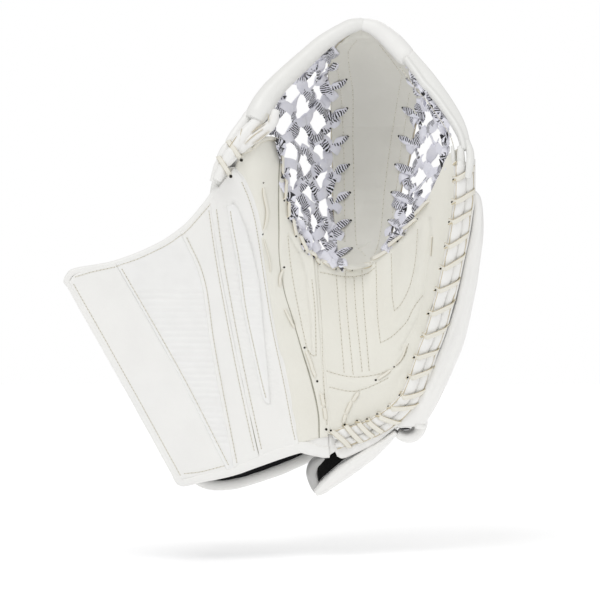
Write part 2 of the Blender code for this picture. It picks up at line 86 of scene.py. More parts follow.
RIB_TOP = [(-129, 130.5), (-110, 137), (-87, 148), (-74, 157)]
MIDDLE_TOP = [(-74, 157), (-68, 162), (-53, 179), (-49, 184)]
INNER_TOP = [(-49, 184), (-41, 196), (-29, 212)]
# Where the rim's lace comes up through the palm, and where it turns down over the outer edge.
RIM_WRAPS = [((51.0, -9.2), (67.8, -22.6)), ((62.9, -4.3), (77.4, -17.9)), ((74, -0.9), (86.7, -12.8)),
             ((83.3, 0.9), (95.2, -8.5)), ((91.8, 5.4), (108.8, -1.7)), ((101.6, 12.6), (129, 14.5)),
             ((111, 22.4), (132.6, 26)), ((117.3, 37.4), (139.4, 44.2)), ((122.7, 54.7), (142.8, 59.5)),
             ((129.7, 73), (151.3, 79)), ((134.8, 92.7), (156.4, 99.5)), ((140.6, 112), (160.7, 119)),
             ((144.9, 131), (164, 139.4)), ((148.5, 149.5), (166.6, 158)), ((151.6, 169), (168.8, 177)),
             ((153.9, 186), (171.7, 194)), ((155, 204), (171.7, 213))]


# ---- lines and surfaces ----

def ease(low, high, value):
    """0 below low, 1 above high and a smooth rise between them."""
    t = np.clip((value - low) / (high - low), 0, 1)
    return t * t * (3 - 2 * t)


def unit(v):
    """Vectors made one long."""
    return v / np.maximum(np.linalg.norm(v, axis=-1, keepdims=True), 1e-12)


def bell(distance, width):
    """1 at no distance, and a smooth fall to 0 over about two widths."""
    return np.exp(-((distance / width) ** 2))


def arch(t):
    """0 at t = 0 and t = 1, and 1 halfway."""
    return np.sin(math.pi * t)


def smooth(points, bits=8):
    """A rounded line through the given points."""
    p = np.array(points, float)
    if len(p) < 3:
        return p
    ends = np.vstack([2 * p[0] - p[1], p, 2 * p[-1] - p[-2]])
    t = np.linspace(0, 1, bits, endpoint=False)[:, None]
    out = []
    for a, b, c, d in zip(ends, ends[1:], ends[2:], ends[3:], strict=False):
        square = (2 * a - 5 * b + 4 * c - d) * t**2
        cube = (3 * b - a - 3 * c + d) * t**3
        out.append(0.5 * (2 * b + (c - a) * t + square + cube))
    return np.vstack([*out, p[-1:]])


def progress(line):
    """Even steps from 0 to 1, one for each point of a line."""
    return np.linspace(0, 1, len(line))


def travel(line):
    """How far along a line each of its points is."""
    return np.concatenate([[0], np.cumsum(np.linalg.norm(np.diff(line, axis=0), axis=1))])


def sampled(where, run, table):
    """The rows of a table at given places along its run."""
    return np.stack([np.interp(where, run, column) for column in table.T], axis=1)


def at(line, t):
    """The points at the fractions t of a line's length."""
    run = travel(line)
    return sampled(np.asarray(t) * run[-1], run, line)


def paced(points, pace):
    """Points about one pace apart along a rounded line."""
    line = smooth(points)
    return at(line, np.linspace(0, 1, max(2, round(travel(line)[-1] / pace) + 1)))


def shifted(points, dx=0.0, dw=0.0):
    """A line moved sideways and up."""
    return [(x + dx, w + dw) for x, w in points]


def stretched(points, more):
    """A line carried on past its last point."""
    before, last = np.array(points[-2], float), np.array(points[-1], float)
    return [*points[:-1], tuple(last + (last - before) / np.linalg.norm(last - before) * more)]


def directions(line):
    """The way a line runs at each of its points."""
    step = np.gradient(np.asarray(line, float), axis=0)
    return step / np.linalg.norm(step, axis=1)[:, None]


def beside(points, distance, pace=2.0):
    """A line at a distance to the right of the direction of travel."""
    line = paced(points, pace)
    d = directions(line)
    return line + distance * np.stack([d[:, 1], -d[:, 0]], axis=1)


def part_of(points, start, end):
    """The stretch of a rounded line between two fractions of its length."""
    return at(smooth(points), np.linspace(start, end, 24))


def distance(x, w, points):
    """How far each layout point is from a rounded line."""
    line = smooth(points, 3) if len(points) < 14 else np.array(points, float)
    p = np.stack([np.ravel(x), np.ravel(w)], axis=1)
    best = np.full(len(p), 1e9)
    for a, b in zip(line[:-1], line[1:], strict=True):
        run = b - a
        t = np.clip((p - a) @ run / max(run @ run, 1e-9), 0, 1)
        best = np.minimum(best, ((p - a - t[:, None] * run) ** 2).sum(axis=1))
    return np.sqrt(best).reshape(np.shape(x))


def noise(x, w, scale, seed):
    """Smooth random waves from -1 to 1, about one scale long."""
    table = np.random.default_rng(seed).uniform(-1, 1, (64, 64))
    gx = np.asarray(x) / scale + 32
    gw = np.asarray(w) / scale + 32
    i = np.floor(gx).astype(int)
    j = np.floor(gw).astype(int)
    a = ease(0, 1, gx - i)
    b = ease(0, 1, gw - j)
    low = table[i % 64, j % 64] * (1 - a) + table[(i + 1) % 64, j % 64] * a
    high = table[i % 64, (j + 1) % 64] * (1 - a) + table[(i + 1) % 64, (j + 1) % 64] * a
    return low * (1 - b) + high * b


def wander(run, scale, seed):
    """Smooth random waves along a line."""
    return noise(run, run * 0, scale, seed)


def spine_x(w):
    """The line where the thumb side folds onto the finger side."""
    return 50 - 0.08 * (w + 14)


def face_depth(x, w):
    """How far back the front of the glove is: the cuff and thumb left of the spine, the palm right of
    it."""
    d = np.abs(x - spine_x(w))
    left = SPINE_DEPTH - 0.20 * d - 26 * ease(95, 225, w) * ease(0, 45, d)
    hollow = 14 * ease(50, 135, w) * bell(x - 82, 34)
    curl = 15 * ease(60, 200, w) * ease(60, 120, d)
    right = SPINE_DEPTH + 0.30 * d - 0.0050 * d * d + hollow - curl
    return np.where(x < spine_x(w), left, right)


def side_depth(w, side):
    """The depth of the pocket's left or right edge."""
    if side < 0:
        return np.interp(w, [137, 160, 190, 212, 236, 250, 290, 321], [12, 8, 0, -6, -12, -14, 2, 16])
    levels = [128, 148, 158, 173, 187, 204, 225, 250, 290, 321]
    return np.interp(w, levels, [30, 23, 12, -1, -16, -27, -33, -30, -6, 16])


def edge_at(edge, w):
    """The x of a line that climbs, at a height w."""
    x, height = np.array(edge, float).T
    return np.interp(w, height, x)


def web_depth(x, w):
    """The pocket's bowl, deepest behind the middle of the T."""
    left = edge_at(RIM_LEFT, w)
    right = edge_at(RIM_RIGHT, np.maximum(w, 147))
    s = np.clip((x - left) / (right - left), 0, 1)
    rise = np.clip((w - 130) / 194, 0, 1)
    bowl = POCKET_DEPTH * arch(rise) ** 0.92 * (4 * s * (1 - s)) ** 0.8
    return (1 - s) * side_depth(w, -1) + s * side_depth(w, 1) + bowl


def wrist_depth(x, w):
    across = 0.49 * x - 0.87 * w
    return 78 - 0.0045 * across * across


def roll_depth(x, w):
    """The middle of the padded top roll."""
    return np.where(x < 79, -30 + 44 * ease(205, 338, w), -44 + 58 * ease(205, 338, w))


def flat_depth(level):
    return lambda x, w: level + 0.0 * x


def facing(x, w, depth, way=-1.0):
    """The way a surface looks at its front, or at its back where way is 1."""
    return unit(on_surface(x, w, way, depth) - on_surface(x, w, 0.0, depth))


def place(x, w, y):
    """Layout points in the glove's own frame, in metres."""
    back = y - WRIST_DEPTH
    z = (w - back * math.sin(FACE_LEAN)) / math.cos(FACE_LEAN)
    return np.stack(np.broadcast_arrays(x, back, z), axis=-1) * MM


def on_surface(x, w, off, depth=face_depth):
    """Points off millimetres behind a surface, along its normal."""
    slope_x = (depth(x + 1, w) - depth(x - 1, w)) / 2
    slope_w = (depth(x, w + 1) - depth(x, w - 1)) / 2
    k = off / np.sqrt(1 + slope_x**2 + slope_w**2)
    return place(x - slope_x * k, w - slope_w * k, depth(x, w) + k)


# ---- meshes ----

def link(obj):
    bpy.context.scene.collection.objects.link(obj)


def fill_with_air(obj, held, pressure=4.0, most=1.3, frames=16):
    """Cloth under air pressure, so that leather swells and creases between its held lines. Held is 1 where
    a point keeps its place, and most is the furthest a point may move, in millimetres."""
    mesh = obj.data
    group = obj.vertex_groups.new(name="held")
    held = np.round(np.clip(held, 0, 1) * 10).astype(int)
    for level in range(1, 11):
        chosen = np.nonzero(held == level)[0].tolist()
        if chosen:
            group.add(chosen, level / 10, "REPLACE")
    cloth = obj.modifiers.new("air", "CLOTH")
    settings = {"quality": 5, "mass": 0.25, "tension_stiffness": 12, "compression_stiffness": 8,
                "bending_stiffness": 0.4, "use_pressure": True, "uniform_pressure_force": pressure,
                "vertex_group_mass": "held"}
    for key, value in settings.items():
        setattr(cloth.settings, key, value)
    cloth.settings.effector_weights.gravity = 0
    cloth.point_cache.frame_start = 1
    cloth.point_cache.frame_end = frames
    before = np.empty(len(mesh.vertices) * 3, np.float32)
    mesh.vertices.foreach_get("co", before)
    scene = bpy.context.scene
    for frame_number in range(1, frames + 1):
        scene.frame_set(frame_number)
    solved = obj.evaluated_get(bpy.context.evaluated_depsgraph_get()).to_mesh()
    after = np.empty_like(before)
    solved.vertices.foreach_get("co", after)
    scene.frame_set(1)
    obj.modifiers.remove(cloth)
    obj.vertex_groups.remove(group)
    move = (after - before).reshape(-1, 3)
    length = np.linalg.norm(move, axis=1, keepdims=True)
    move = np.where(np.isfinite(move), move, 0) * np.minimum(1, most * MM / np.maximum(length, 1e-9))
    mesh.vertices.foreach_set("co", before + move.ravel())
    mesh.update()


def build(name, bits, materials, body, node=None, slot=None, held=None, fill=None):
    """One object from (points, faces, material index) bits, riding on a body. It stands for a CAD node if
    one is named. The slot is not used. Held gives how firmly its points are held as air fills it. The fill
    is not used."""
    verts = []
    faces = []
    index = []
    start = 0
    strands = []
    for points, polygons, which, *strand in bits:
        points = np.asarray(points, float).reshape(-1, 3)
        verts.append(points)
        strands.append(strand[0] if strand else np.zeros((len(points), 3)))
        for group in polygons:
            faces += (np.asarray(group) + start).tolist()
        counts = sum(len(group) for group in polygons)
        index.append(np.broadcast_to(np.asarray(which, int), (counts,)))
        start += len(points)
    mesh = bpy.data.meshes.new(name)
    mesh.from_pydata(np.concatenate(verts).tolist(), [], faces)
    mesh.polygons.foreach_set("material_index", np.concatenate(index).astype(np.int32))
    mesh.shade_smooth()
    for material in materials:
        mesh.materials.append(material)
    strands = np.concatenate(strands)
    if strands.any():
        layer = mesh.attributes.new("strand", "FLOAT_VECTOR", "POINT")
        layer.data.foreach_set("vector", strands.astype(np.float32).ravel())
    obj = bpy.data.objects.new(name, mesh)
    link(obj)
    if held is not None:
        fill_with_air(obj, held)
    if body:
        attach(obj, body)
    if node:
        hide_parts(node)
    return obj


def quads(rows, cols, closed=False):
    j, i = np.meshgrid(np.arange(rows - 1), np.arange(cols if closed else cols - 1), indexing="ij")
    k = (i + 1) % cols
    low, high = j * cols, (j + 1) * cols
    return np.stack([low + i, low + k, high + k, high + i], axis=-1).reshape(-1, 4)


def shell(front, back, edge=1):
    """A closed sheet between a front and a back grid. Its rim takes the material number given."""
    rows, cols = front.shape[:2]
    n = rows * cols
    face = quads(rows, cols)
    grid = np.arange(n).reshape(rows, cols)
    rims = []
    low, high = grid[0], grid[-1]
    left, right = grid[:, 0], grid[:, -1]
    rims.append(np.stack([low[:-1], low[:-1] + n, low[1:] + n, low[1:]], axis=1))
    rims.append(np.stack([high[:-1], high[1:], high[1:] + n, high[:-1] + n], axis=1))
    rims.append(np.stack([left[:-1], left[1:], left[1:] + n, left[:-1] + n], axis=1))
    rims.append(np.stack([right[:-1], right[:-1] + n, right[1:] + n, right[1:]], axis=1))
    rim = np.concatenate(rims)
    which = np.concatenate([np.zeros(2 * len(face), int), np.full(len(rim), edge)])
    return np.concatenate([front.reshape(-1, 3), back.reshape(-1, 3)]), [face, face[:, ::-1] + n, rim], which


def sweep(path, normal, wide, thick, sides=12, square=2.6, edge=None):
    """A band or cord along a path. Wide and thick are half sizes in millimetres, and normal is the way its
    face looks. Its sides take the material number edge."""
    path = np.asarray(path, float)
    count = len(path)
    along = unit(np.gradient(path, axis=0))
    normal = np.broadcast_to(normal, path.shape)
    side = unit(np.cross(normal, along))
    up = np.cross(along, side)
    angle = np.linspace(0, 2 * math.pi, sides, endpoint=False)
    ca = np.sign(np.cos(angle)) * np.abs(np.cos(angle)) ** (2 / square)
    sa = np.sign(np.sin(angle)) * np.abs(np.sin(angle)) ** (2 / square)
    wide = np.broadcast_to(wide, (count,))[:, None, None] * MM
    thick = np.broadcast_to(thick, (count,))[:, None, None] * MM
    rings = path[:, None] + side[:, None] * wide * ca[None, :, None] + up[:, None] * thick * sa[None, :, None]
    verts = np.concatenate([rings.reshape(-1, 3), path[:1], path[-1:]])
    body = quads(count, sides, closed=True)
    ring = np.arange(sides)
    nxt = (ring + 1) % sides
    first = count * sides
    last = (count - 1) * sides
    start = np.stack([nxt, ring, np.full(sides, first)], axis=1)
    end = np.stack([last + ring, last + nxt, np.full(sides, first + 1)], axis=1)
    which = np.zeros(len(body) + 2 * sides, int)
    if edge is not None:
        middle = (angle + math.pi / sides) % (2 * math.pi)
        outer = np.abs(np.cos(middle)) > 0.80
        which[: len(body)] = np.tile(outer * edge, count - 1)
        which[len(body):] = edge
    return verts, [body, start, end], which


def band_at(x, w, y, wide, thick, sides=12, square=2.6):
    """A band or cord through layout points, with its face to the front."""
    return sweep(place(x, w, y), FRONT, wide, thick, sides, square)


def beads(centres, along, up, half_length, radius, flat=1.0, sides=6, which=0):
    """Small rounded grains, such as stitches, one at each centre."""
    levels = np.array([-1, -0.75, -0.2, 0.2, 0.75, 1.0])
    sizes = np.array([0.35, 0.85, 1.0, 1.0, 0.85, 0.35])
    angle = np.linspace(0, 2 * math.pi, sides, endpoint=False)
    side = unit(np.cross(up, along))
    up = np.cross(along, side)
    a = levels[:, None] * np.ones(sides)
    s = sizes[:, None] * np.cos(angle) * radius
    u = sizes[:, None] * np.sin(angle) * radius * flat
    rings = (centres[:, None, None] + along[:, None, None] * (a * half_length)[None, :, :, None] * MM
             + side[:, None, None] * s[None, :, :, None] * MM + up[:, None, None] * u[None, :, :, None] * MM)
    per = len(levels) * sides
    body = quads(len(levels), sides, closed=True)
    ring = np.arange(sides)
    low = ring[::-1][None]
    high = (ring + per - sides)[None]
    shift = (np.arange(len(centres)) * per)[:, None, None]
    groups = [(g[None] + shift).reshape(-1, g.shape[1]) for g in (body, low, high)]
    return rings.reshape(-1, 3), groups, which


# ---- materials ----

class Nodes:
    """A material under construction."""

    def __init__(self, name):
        self.material = bpy.data.materials.new(name)
        self.material.use_nodes = True
        self.tree = self.material.node_tree
        self.shader = self.tree.nodes["Principled BSDF"]
        self.place = self.add("ShaderNodeTexCoord").outputs["Object"]

    def add(self, kind, **settings):
        node = self.tree.nodes.new(kind)
        for key, value in settings.items():
            if hasattr(node, key):
                setattr(node, key, value)
            else:
                node.inputs[key.replace("_", " ")].default_value = value
        return node

    def join(self, source, target):
        self.tree.links.new(source, target)

    def noise(self, scale, detail=3.0, roughness=0.5, place=None):
        node = self.add("ShaderNodeTexNoise", Scale=scale, Detail=detail, Roughness=roughness)
        self.join(place or self.place, node.inputs["Vector"])
        return node.outputs["Fac"]

    def cells(self, scale, feature="F1", place=None):
        node = self.add("ShaderNodeTexVoronoi", feature=feature, Scale=scale)
        self.join(place or self.place, node.inputs["Vector"])
        return node.outputs["Distance"]

    def spread(self, value, low, high, a=0.3, b=0.7):
        node = self.add("ShaderNodeMapRange")
        self.join(value, node.inputs["Value"])
        for key, number in (("From Min", a), ("From Max", b), ("To Min", low), ("To Max", high)):
            node.inputs[key].default_value = number
        return node.outputs["Result"]

    def blend(self, factor, first, second, mode="MIX"):
        node = self.add("ShaderNodeMix", data_type="RGBA", blend_type=mode)
        if isinstance(factor, (int, float)):
            node.inputs[0].default_value = factor
        else:
            self.join(factor, node.inputs[0])
        for socket, value in ((6, first), (7, second)):
            if isinstance(value, tuple):
                node.inputs[socket].default_value = (*value, 1)
            else:
                self.join(value, node.inputs[socket])
        return node.outputs[2]

    def sum(self, first, second, operation="ADD"):
        node = self.add("ShaderNodeMath", operation=operation)
        for socket, value in enumerate((first, second)):
            if isinstance(value, (int, float)):
                node.inputs[socket].default_value = value
            else:
                self.join(value, node.inputs[socket])
        return node.outputs[0]

    def bump(self, height, distance, strength=1.0, under=None):
        node = self.add("ShaderNodeBump", Distance=distance, Strength=strength)
        self.join(height, node.inputs["Height"])
        if under:
            self.join(under, node.inputs["Normal"])
        return node.outputs["Normal"]

    def finish(self, colour, roughness, normal=None, **settings):
        for value, key in ((colour, "Base Color"), (roughness, "Roughness"), (normal, "Normal")):
            if value is None:
                continue
            if isinstance(value, tuple):
                self.shader.inputs[key].default_value = (*value, 1)
            elif isinstance(value, (int, float)):
                self.shader.inputs[key].default_value = value
            else:
                self.join(value, self.shader.inputs[key])
        for key, value in settings.items():
            self.shader.inputs[key.replace("_", " ")].default_value = value
        return self.material


def leather(name, colour, shade, warmth, rough=0.42, grain=1.0, coat=0.08):
    """Coated leather: pebbled grain, faint creases, and a tint that wanders from colour to shade."""
    n = Nodes(name)
    mottle = n.spread(n.noise(38, 4, 0.55), 0, 1)
    fine = n.noise(420, 3, 0.6)
    tint = n.blend(mottle, colour, shade)
    tint = n.blend(n.spread(n.noise(11, 2), 0, 0.5), tint, warmth)
    pores = n.cells(1150)
    tint = n.blend(n.spread(pores, 0.10, 0.0, 0.0, 0.35), tint, shade)
    relief = n.sum(n.spread(pores, 0, 1, 0.0, 0.8), n.sum(fine, 0.7, "MULTIPLY"))
    normal = n.bump(relief, 0.00012 * grain, 0.5)
    normal = n.bump(n.noise(95, 4, 0.6), 0.0006 * grain, 0.22, normal)
    roughness = n.spread(n.noise(160, 3), rough - 0.06, rough + 0.09)
    return n.finish(tint, roughness, normal, Coat_Weight=coat, Coat_Roughness=0.35, Specular_IOR_Level=0.42)


def ribbed_textile(name, colour, shade):
    """A coated textile with very fine ribs that run across the panel."""
    n = Nodes(name)
    fine = n.add("ShaderNodeTexWave", wave_type="BANDS", bands_direction="Z", Scale=330, Distortion=0.6)
    fine.inputs["Detail Scale"].default_value = 3
    n.join(n.place, fine.inputs["Vector"])
    mottle = n.spread(n.noise(70, 4), 0, 1)
    tint = n.blend(mottle, colour, shade)
    tint = n.blend(n.sum(fine.outputs["Fac"], 0.25, "MULTIPLY"), tint, shade)
    relief = n.sum(fine.outputs["Fac"], n.noise(1500, 2), "ADD")
    normal = n.bump(relief, 0.00016, 0.5)
    return n.finish(tint, n.spread(n.noise(200), 0.5, 0.62), normal, Sheen_Weight=0.12, Sheen_Roughness=0.5)


def cut_edge(name, colour, shade):
    """The raw cut edge of leather: fibrous and tan."""
    n = Nodes(name)
    fibres = n.noise(1400, 4, 0.7)
    tint = n.blend(n.spread(fibres, 0, 1), colour, shade)
    return n.finish(tint, 0.75, n.bump(fibres, 0.0002, 0.8))


def thread(name, colour, shade):
    n = Nodes(name)
    twist = n.add("ShaderNodeTexWave", wave_type="BANDS", bands_direction="DIAGONAL", Scale=900,
                  Distortion=1.5)
    n.join(n.place, twist.inputs["Vector"])
    tint = n.blend(twist.outputs["Fac"], colour, shade)
    return n.finish(tint, 0.6, n.bump(twist.outputs["Fac"], 0.0001, 0.6), Sheen_Weight=0.2)


def webbing(name, colour, shade, ink):
    """Flat woven lace: bluish white, with dark ticks woven in along parts of it."""
    n = Nodes(name)
    weave = n.cells(1600)
    tint = n.blend(n.spread(n.noise(120, 3), 0, 1), colour, shade)
    tint = n.blend(n.spread(weave, 0, 0.35, 0.1, 0.9), tint, shade)
    strand = n.add("ShaderNodeAttribute", attribute_name="strand")
    parts = n.add("ShaderNodeSeparateXYZ")
    n.join(strand.outputs["Vector"], parts.inputs[0])
    run, across, amount = parts.outputs
    wobble = n.spread(n.noise(260, 2), -0.25, 0.25)
    phase = n.sum(n.sum(run, 1 / TICK_PITCH, "MULTIPLY"), wobble)
    stripe = n.spread(n.sum(n.sum(phase, 1.0, "FRACT"), 0.5, "SUBTRACT"), 0, 1, -0.02, 0.02)
    reach = n.sum(across, n.spread(n.noise(90, 2), -1.2, 0.5), "SUBTRACT")
    ticks = n.sum(n.sum(stripe, n.spread(reach, 0, 1, -0.12, 0.12), "MULTIPLY"), amount, "MULTIPLY")
    tint = n.blend(ticks, tint, ink)
    return n.finish(tint, 0.62, n.bump(weave, 0.0002, 0.7), Sheen_Weight=0.25, Sheen_Roughness=0.4)


def knit(name, colour, shade, scale=800.0, rough=0.9):
    """Dark knitted lining or hook tape."""
    n = Nodes(name)
    loops = n.cells(scale)
    tint = n.blend(n.spread(loops, 0, 1, 0.1, 0.8), colour, shade)
    tint = n.blend(n.spread(n.noise(60, 4), 0, 0.4), tint, shade)
    return n.finish(tint, rough, n.bump(loops, 0.0004, 0.9), Sheen_Weight=0.02, Specular_IOR_Level=0.15)


def felt(name, colour, shade):
    n = Nodes(name)
    fibres = n.noise(700, 6, 0.75)
    tint = n.blend(n.spread(fibres, 0, 1), colour, shade)
    return n.finish(tint, 0.95, n.bump(fibres, 0.0006, 0.8), Sheen_Weight=0.3)


def floor_paint():
    n = Nodes("floor_paint")
    tint = n.blend(n.spread(n.noise(3, 2), 0, 1), (0.96, 0.96, 0.96), (0.94, 0.94, 0.945))
    n.shader.inputs["Emission Color"].default_value = (1, 1, 1, 1)
    return n.finish(tint, 0.7, Specular_IOR_Level=0.2, Emission_Strength=0.22)


WHITE = leather("white_leather", (0.855, 0.852, 0.835), (0.825, 0.822, 0.805), (0.855, 0.845, 0.815))
IVORY = leather("ivory_leather", (0.80, 0.79, 0.725), (0.77, 0.757, 0.69), (0.80, 0.78, 0.705), rough=0.45,
                coat=0.05)
RIBBED = ribbed_textile("ribbed_textile", (0.875, 0.873, 0.86), (0.84, 0.838, 0.825))
ROLL = leather("roll_leather", (0.81, 0.81, 0.79), (0.78, 0.78, 0.76), (0.81, 0.80, 0.765))
# Painted shade: a grey leather for the wrist strap's turned-up end, standing in for the shade on its face
# turned from the light.
SHADE = leather("strap_turn_painted_shade", (0.50, 0.50, 0.495), (0.46, 0.46, 0.455), (0.50, 0.49, 0.48))
# Painted shade: a greyer ivory for the T web and crotch gusset, standing in for the shade deep in the pocket.
SHADED = leather("pocket_leather_painted_shade", (0.72, 0.71, 0.655), (0.69, 0.68, 0.625), (0.72, 0.705, 0.64), rough=0.47,
                 coat=0.04)
LACE = leather("lace_leather", (0.80, 0.78, 0.71), (0.765, 0.74, 0.66), (0.80, 0.775, 0.69), rough=0.5,
               grain=1.6, coat=0)
CUT = cut_edge("cut_edge", (0.66, 0.59, 0.43), (0.54, 0.46, 0.31))
THREAD = thread("thread", (0.79, 0.77, 0.70), (0.66, 0.62, 0.52))
HOLE = knit("hole_dark", (0.030, 0.026, 0.020), (0.015, 0.013, 0.010))
PRICK = knit("needle_hole", (0.58, 0.55, 0.45), (0.48, 0.45, 0.35))
# Painted shadow: a dark knit laid along the bottom of grooves and seam gaps, where shade falls.
GROOVE_SHADOW = knit("seam_shadow", (0.45, 0.44, 0.37), (0.34, 0.33, 0.27))
NETTING = webbing("net_webbing", (0.84, 0.84, 0.90), (0.76, 0.76, 0.84), (0.010, 0.010, 0.013))
BLACK = knit("black_lining", (0.008, 0.008, 0.009), (0.018, 0.018, 0.020))
HOOK = knit("hook_tape", (0.002, 0.002, 0.002), (0.006, 0.006, 0.006), 1300)
FELT = felt("wool_felt", (0.55, 0.54, 0.50), (0.42, 0.41, 0.38))
BOARD = felt("board_grey", (0.50, 0.50, 0.50), (0.42, 0.42, 0.42))


# ---- panels ----

EDGE_STEPS = np.array([0, 0.2, 0.5, 0.95, 1.6])


def fractions(length, step):
    """Fractions of a length, closer together near both ends."""
    inner = np.linspace(EDGE_STEPS[-1], length - EDGE_STEPS[-1], max(3, round(length / step)))
    marks = np.concatenate([EDGE_STEPS[:-1], inner, (length - EDGE_STEPS[:-1])[::-1]])
    return marks / length


def edge_drop(near, roll, thickness):
    """How far a sheet's face turns down at its rounded edge, near millimetres in from it."""
    inside = np.clip(roll - near, 0, roll)
    return np.minimum(roll - np.sqrt(np.maximum(roll**2 - inside**2, 0)), thickness * 0.75)


class Panel:
    """A leather sheet sewn on a surface: its outline, and what stands out of it or is pressed into it."""

    def __init__(self, left, right, bottom=None, top=None, depth=face_depth, off=0.0, thickness=LEATHER,
                 step=1.25, roll=1.5, puff=0.0, puff_width=9.0, raised=(), extra=None, way=-1):
        self.left, self.right, self.bottom, self.top = left, right, bottom, top
        self.depth, self.off, self.thickness, self.step, self.roll = depth, off, thickness, step, roll
        self.puff, self.puff_width = puff, puff_width
        self.raised = raised
        self.extra = extra
        self.way = way
        self.seams = []
        self.cuts = []
        self.holes = []

    def outline(self):
        left = smooth(self.left)
        right = smooth(self.right)
        bottom = smooth(self.bottom) if self.bottom is not None else np.array([left[0], right[0]])
        top = smooth(self.top) if self.top is not None else np.array([left[-1], right[-1]])
        return {"left": left, "right": right, "bottom": bottom, "top": top}

    def relief(self, x, w):
        """How far the face stands in front of the surface."""
        lift = np.zeros(np.shape(x))
        if self.puff:
            inside = np.min([distance(x, w, line) for line in self.outline().values()], axis=0)
            lift += self.puff * (1 - np.exp(-inside / self.puff_width))
        for side, height in self.raised:
            d = distance(x, w, self.outline()[side])
            lift += height * (1 - ease(2.8, 4.6, d))
        for line, _ in self.seams:
            lift -= SEAM_PRESS * bell(distance(x, w, line), SEAM_WIDTH)
        for line, width, deep in self.cuts:
            lift -= deep * bell(distance(x, w, line), width)
        for hx, hw in self.holes:
            lift -= HOLE_PRESS * np.exp(-(((x - hx) ** 2 + (w - hw) ** 2) / 2.0))
        if self.extra:
            lift += self.extra(x, w)
        return lift

    def point(self, x, w, above=0.0):
        """A point above millimetres in front of the panel's face."""
        x = np.asarray(x, float)
        w = np.asarray(w, float)
        return on_surface(x, w, self.off + self.way * (self.relief(x, w) + above), self.depth)

    def path(self, points, above=0.0, pace=1.5):
        line = paced(points, pace)
        return self.point(*line.T, above)

    def normal(self, x, w):
        """The way the panel's face looks."""
        return facing(x, w, self.depth, self.way)

    def grid(self):
        left, right = smooth(self.left), smooth(self.right)
        width = np.linalg.norm(at(left, [0.5]) - at(right, [0.5]))
        tall = (travel(left)[-1] + travel(right)[-1]) / 2
        us = fractions(max(width, 8), self.step)
        vs = fractions(tall, self.step)
        lefts = at(left, vs)
        rights = at(right, vs)
        u = us[:, None]
        low = (1 - u) * lefts[0] + u * rights[0]
        high = (1 - u) * lefts[-1] + u * rights[-1]
        sag_low = at(smooth(self.bottom), us) - low if self.bottom is not None else 0 * low
        sag_high = at(smooth(self.top), us) - high if self.top is not None else 0 * high
        v = vs[:, None, None]
        xw = (1 - us[None, :, None]) * lefts[:, None] + us[None, :, None] * rights[:, None]
        xw = xw + (1 - v) * sag_low[None] + v * sag_high[None]
        near = np.minimum(us, 1 - us)[None, :] * np.linalg.norm(rights - lefts, axis=1)[:, None]
        near = np.minimum(near, np.minimum(vs, 1 - vs)[:, None] * tall)
        return xw[..., 0], xw[..., 1], near

    def bits(self, edge=1):
        x, w, near = self.grid()
        drop = edge_drop(near, self.roll, self.thickness)
        face = on_surface(x, w, self.off + self.way * (self.relief(x, w) - drop), self.depth)
        inside = on_surface(x, w, self.off - self.way * self.thickness, self.depth)
        return shell(face, inside, edge) if self.way < 0 else shell(inside, face, edge)

    def stitch_bits(self):
        """Thread between needle holes, along every seam of the panel."""
        threads = []
        pricks = []
        for line, pitch in self.seams:
            run = paced(line, pitch)
            middle = (run[:-1] + run[1:]) / 2
            ends = self.point(*run.T, 0.05)
            along = unit(ends[1:] - ends[:-1])
            up = self.normal(*middle.T)
            centres = self.point(*middle.T, 0.12)
            threads.append(beads(centres, along, up, pitch * 0.33, STITCH_RADIUS))
            along = np.concatenate([along, along[-1:]])
            up = self.normal(*run.T)
            pricks.append(beads(ends, along, up, 0.55, 0.42, 0.45, which=1))
        return threads + pricks


def panel_piece(name, panel, material, body, node, edge=None, **settings):
    """A panel as a piece of its own, with its cut edge in another material if given."""
    return build(name, [panel.bits()], [material, edge or material], body, node, **settings)


def lining_piece(name, panel, body, node):
    """A knitted lining: the panel built in the black knit."""
    piece = panel_piece(name, panel, BLACK, body, node)


def stitching(name, panels, body):
    """The thread and needle holes of a group of panels."""
    bits = [bit for panel in panels for bit in panel.stitch_bits()]
    return build(name, bits, [THREAD, PRICK], body)


def lace_on(panel, points, width=3.4, lift=0.75, sink=1.6, thick=0.75, pace=0.9):
    """One stretch of flat lace that comes up through a panel, lies on it and goes down again."""
    line = paced(points, pace)
    t = progress(line)
    rise = ease(0, 0.14, t) * ease(0, 0.14, 1 - t)
    flat = panel.off - panel.relief(*line.T)
    path = on_surface(*line.T, flat - lift * rise - 0.25 * arch(t) + sink * (1 - rise),
                      panel.depth)
    up = panel.normal(*line.T)
    narrow = 0.62 + 0.38 * ease(0, 0.22, t) * ease(0, 0.22, 1 - t)
    return sweep(path, up, width / 2 * narrow, thick / 2 * (2 - narrow), edge=1)


def hole_on(panel, x, w, radius=1.05, above=0.15):
    """The dark round hole that a lace goes through."""
    centre = panel.point(np.array([x]), np.array([w]), above)
    up = panel.normal(np.array([x]), np.array([w]))
    return beads(centre, unit(np.cross(up, [[0.3, 0.2, 0.9]])), up, radius, radius, 0.28, sides=12, which=2)


def groove_shadow_on(panel, points, half_width=0.55, above=-0.35):
    """The dark shadow at the bottom of a groove."""
    path = panel.path(points, above, 1.2)
    line = paced(points, 1.2)
    size = len(path)
    taper = np.clip(np.minimum(np.arange(size), np.arange(size)[::-1]) / 5, 0.15, 1)
    return sweep(path, panel.normal(*line.T), half_width * taper, 0.28, sides=8)


# ---- cuff ----

def row_beside(seam, gap, start, end, pitch):
    """A row of stitches beside a seam, between two fractions of its length, and the stitches' pitch."""
    return part_of(beside(seam, gap), start, end), pitch


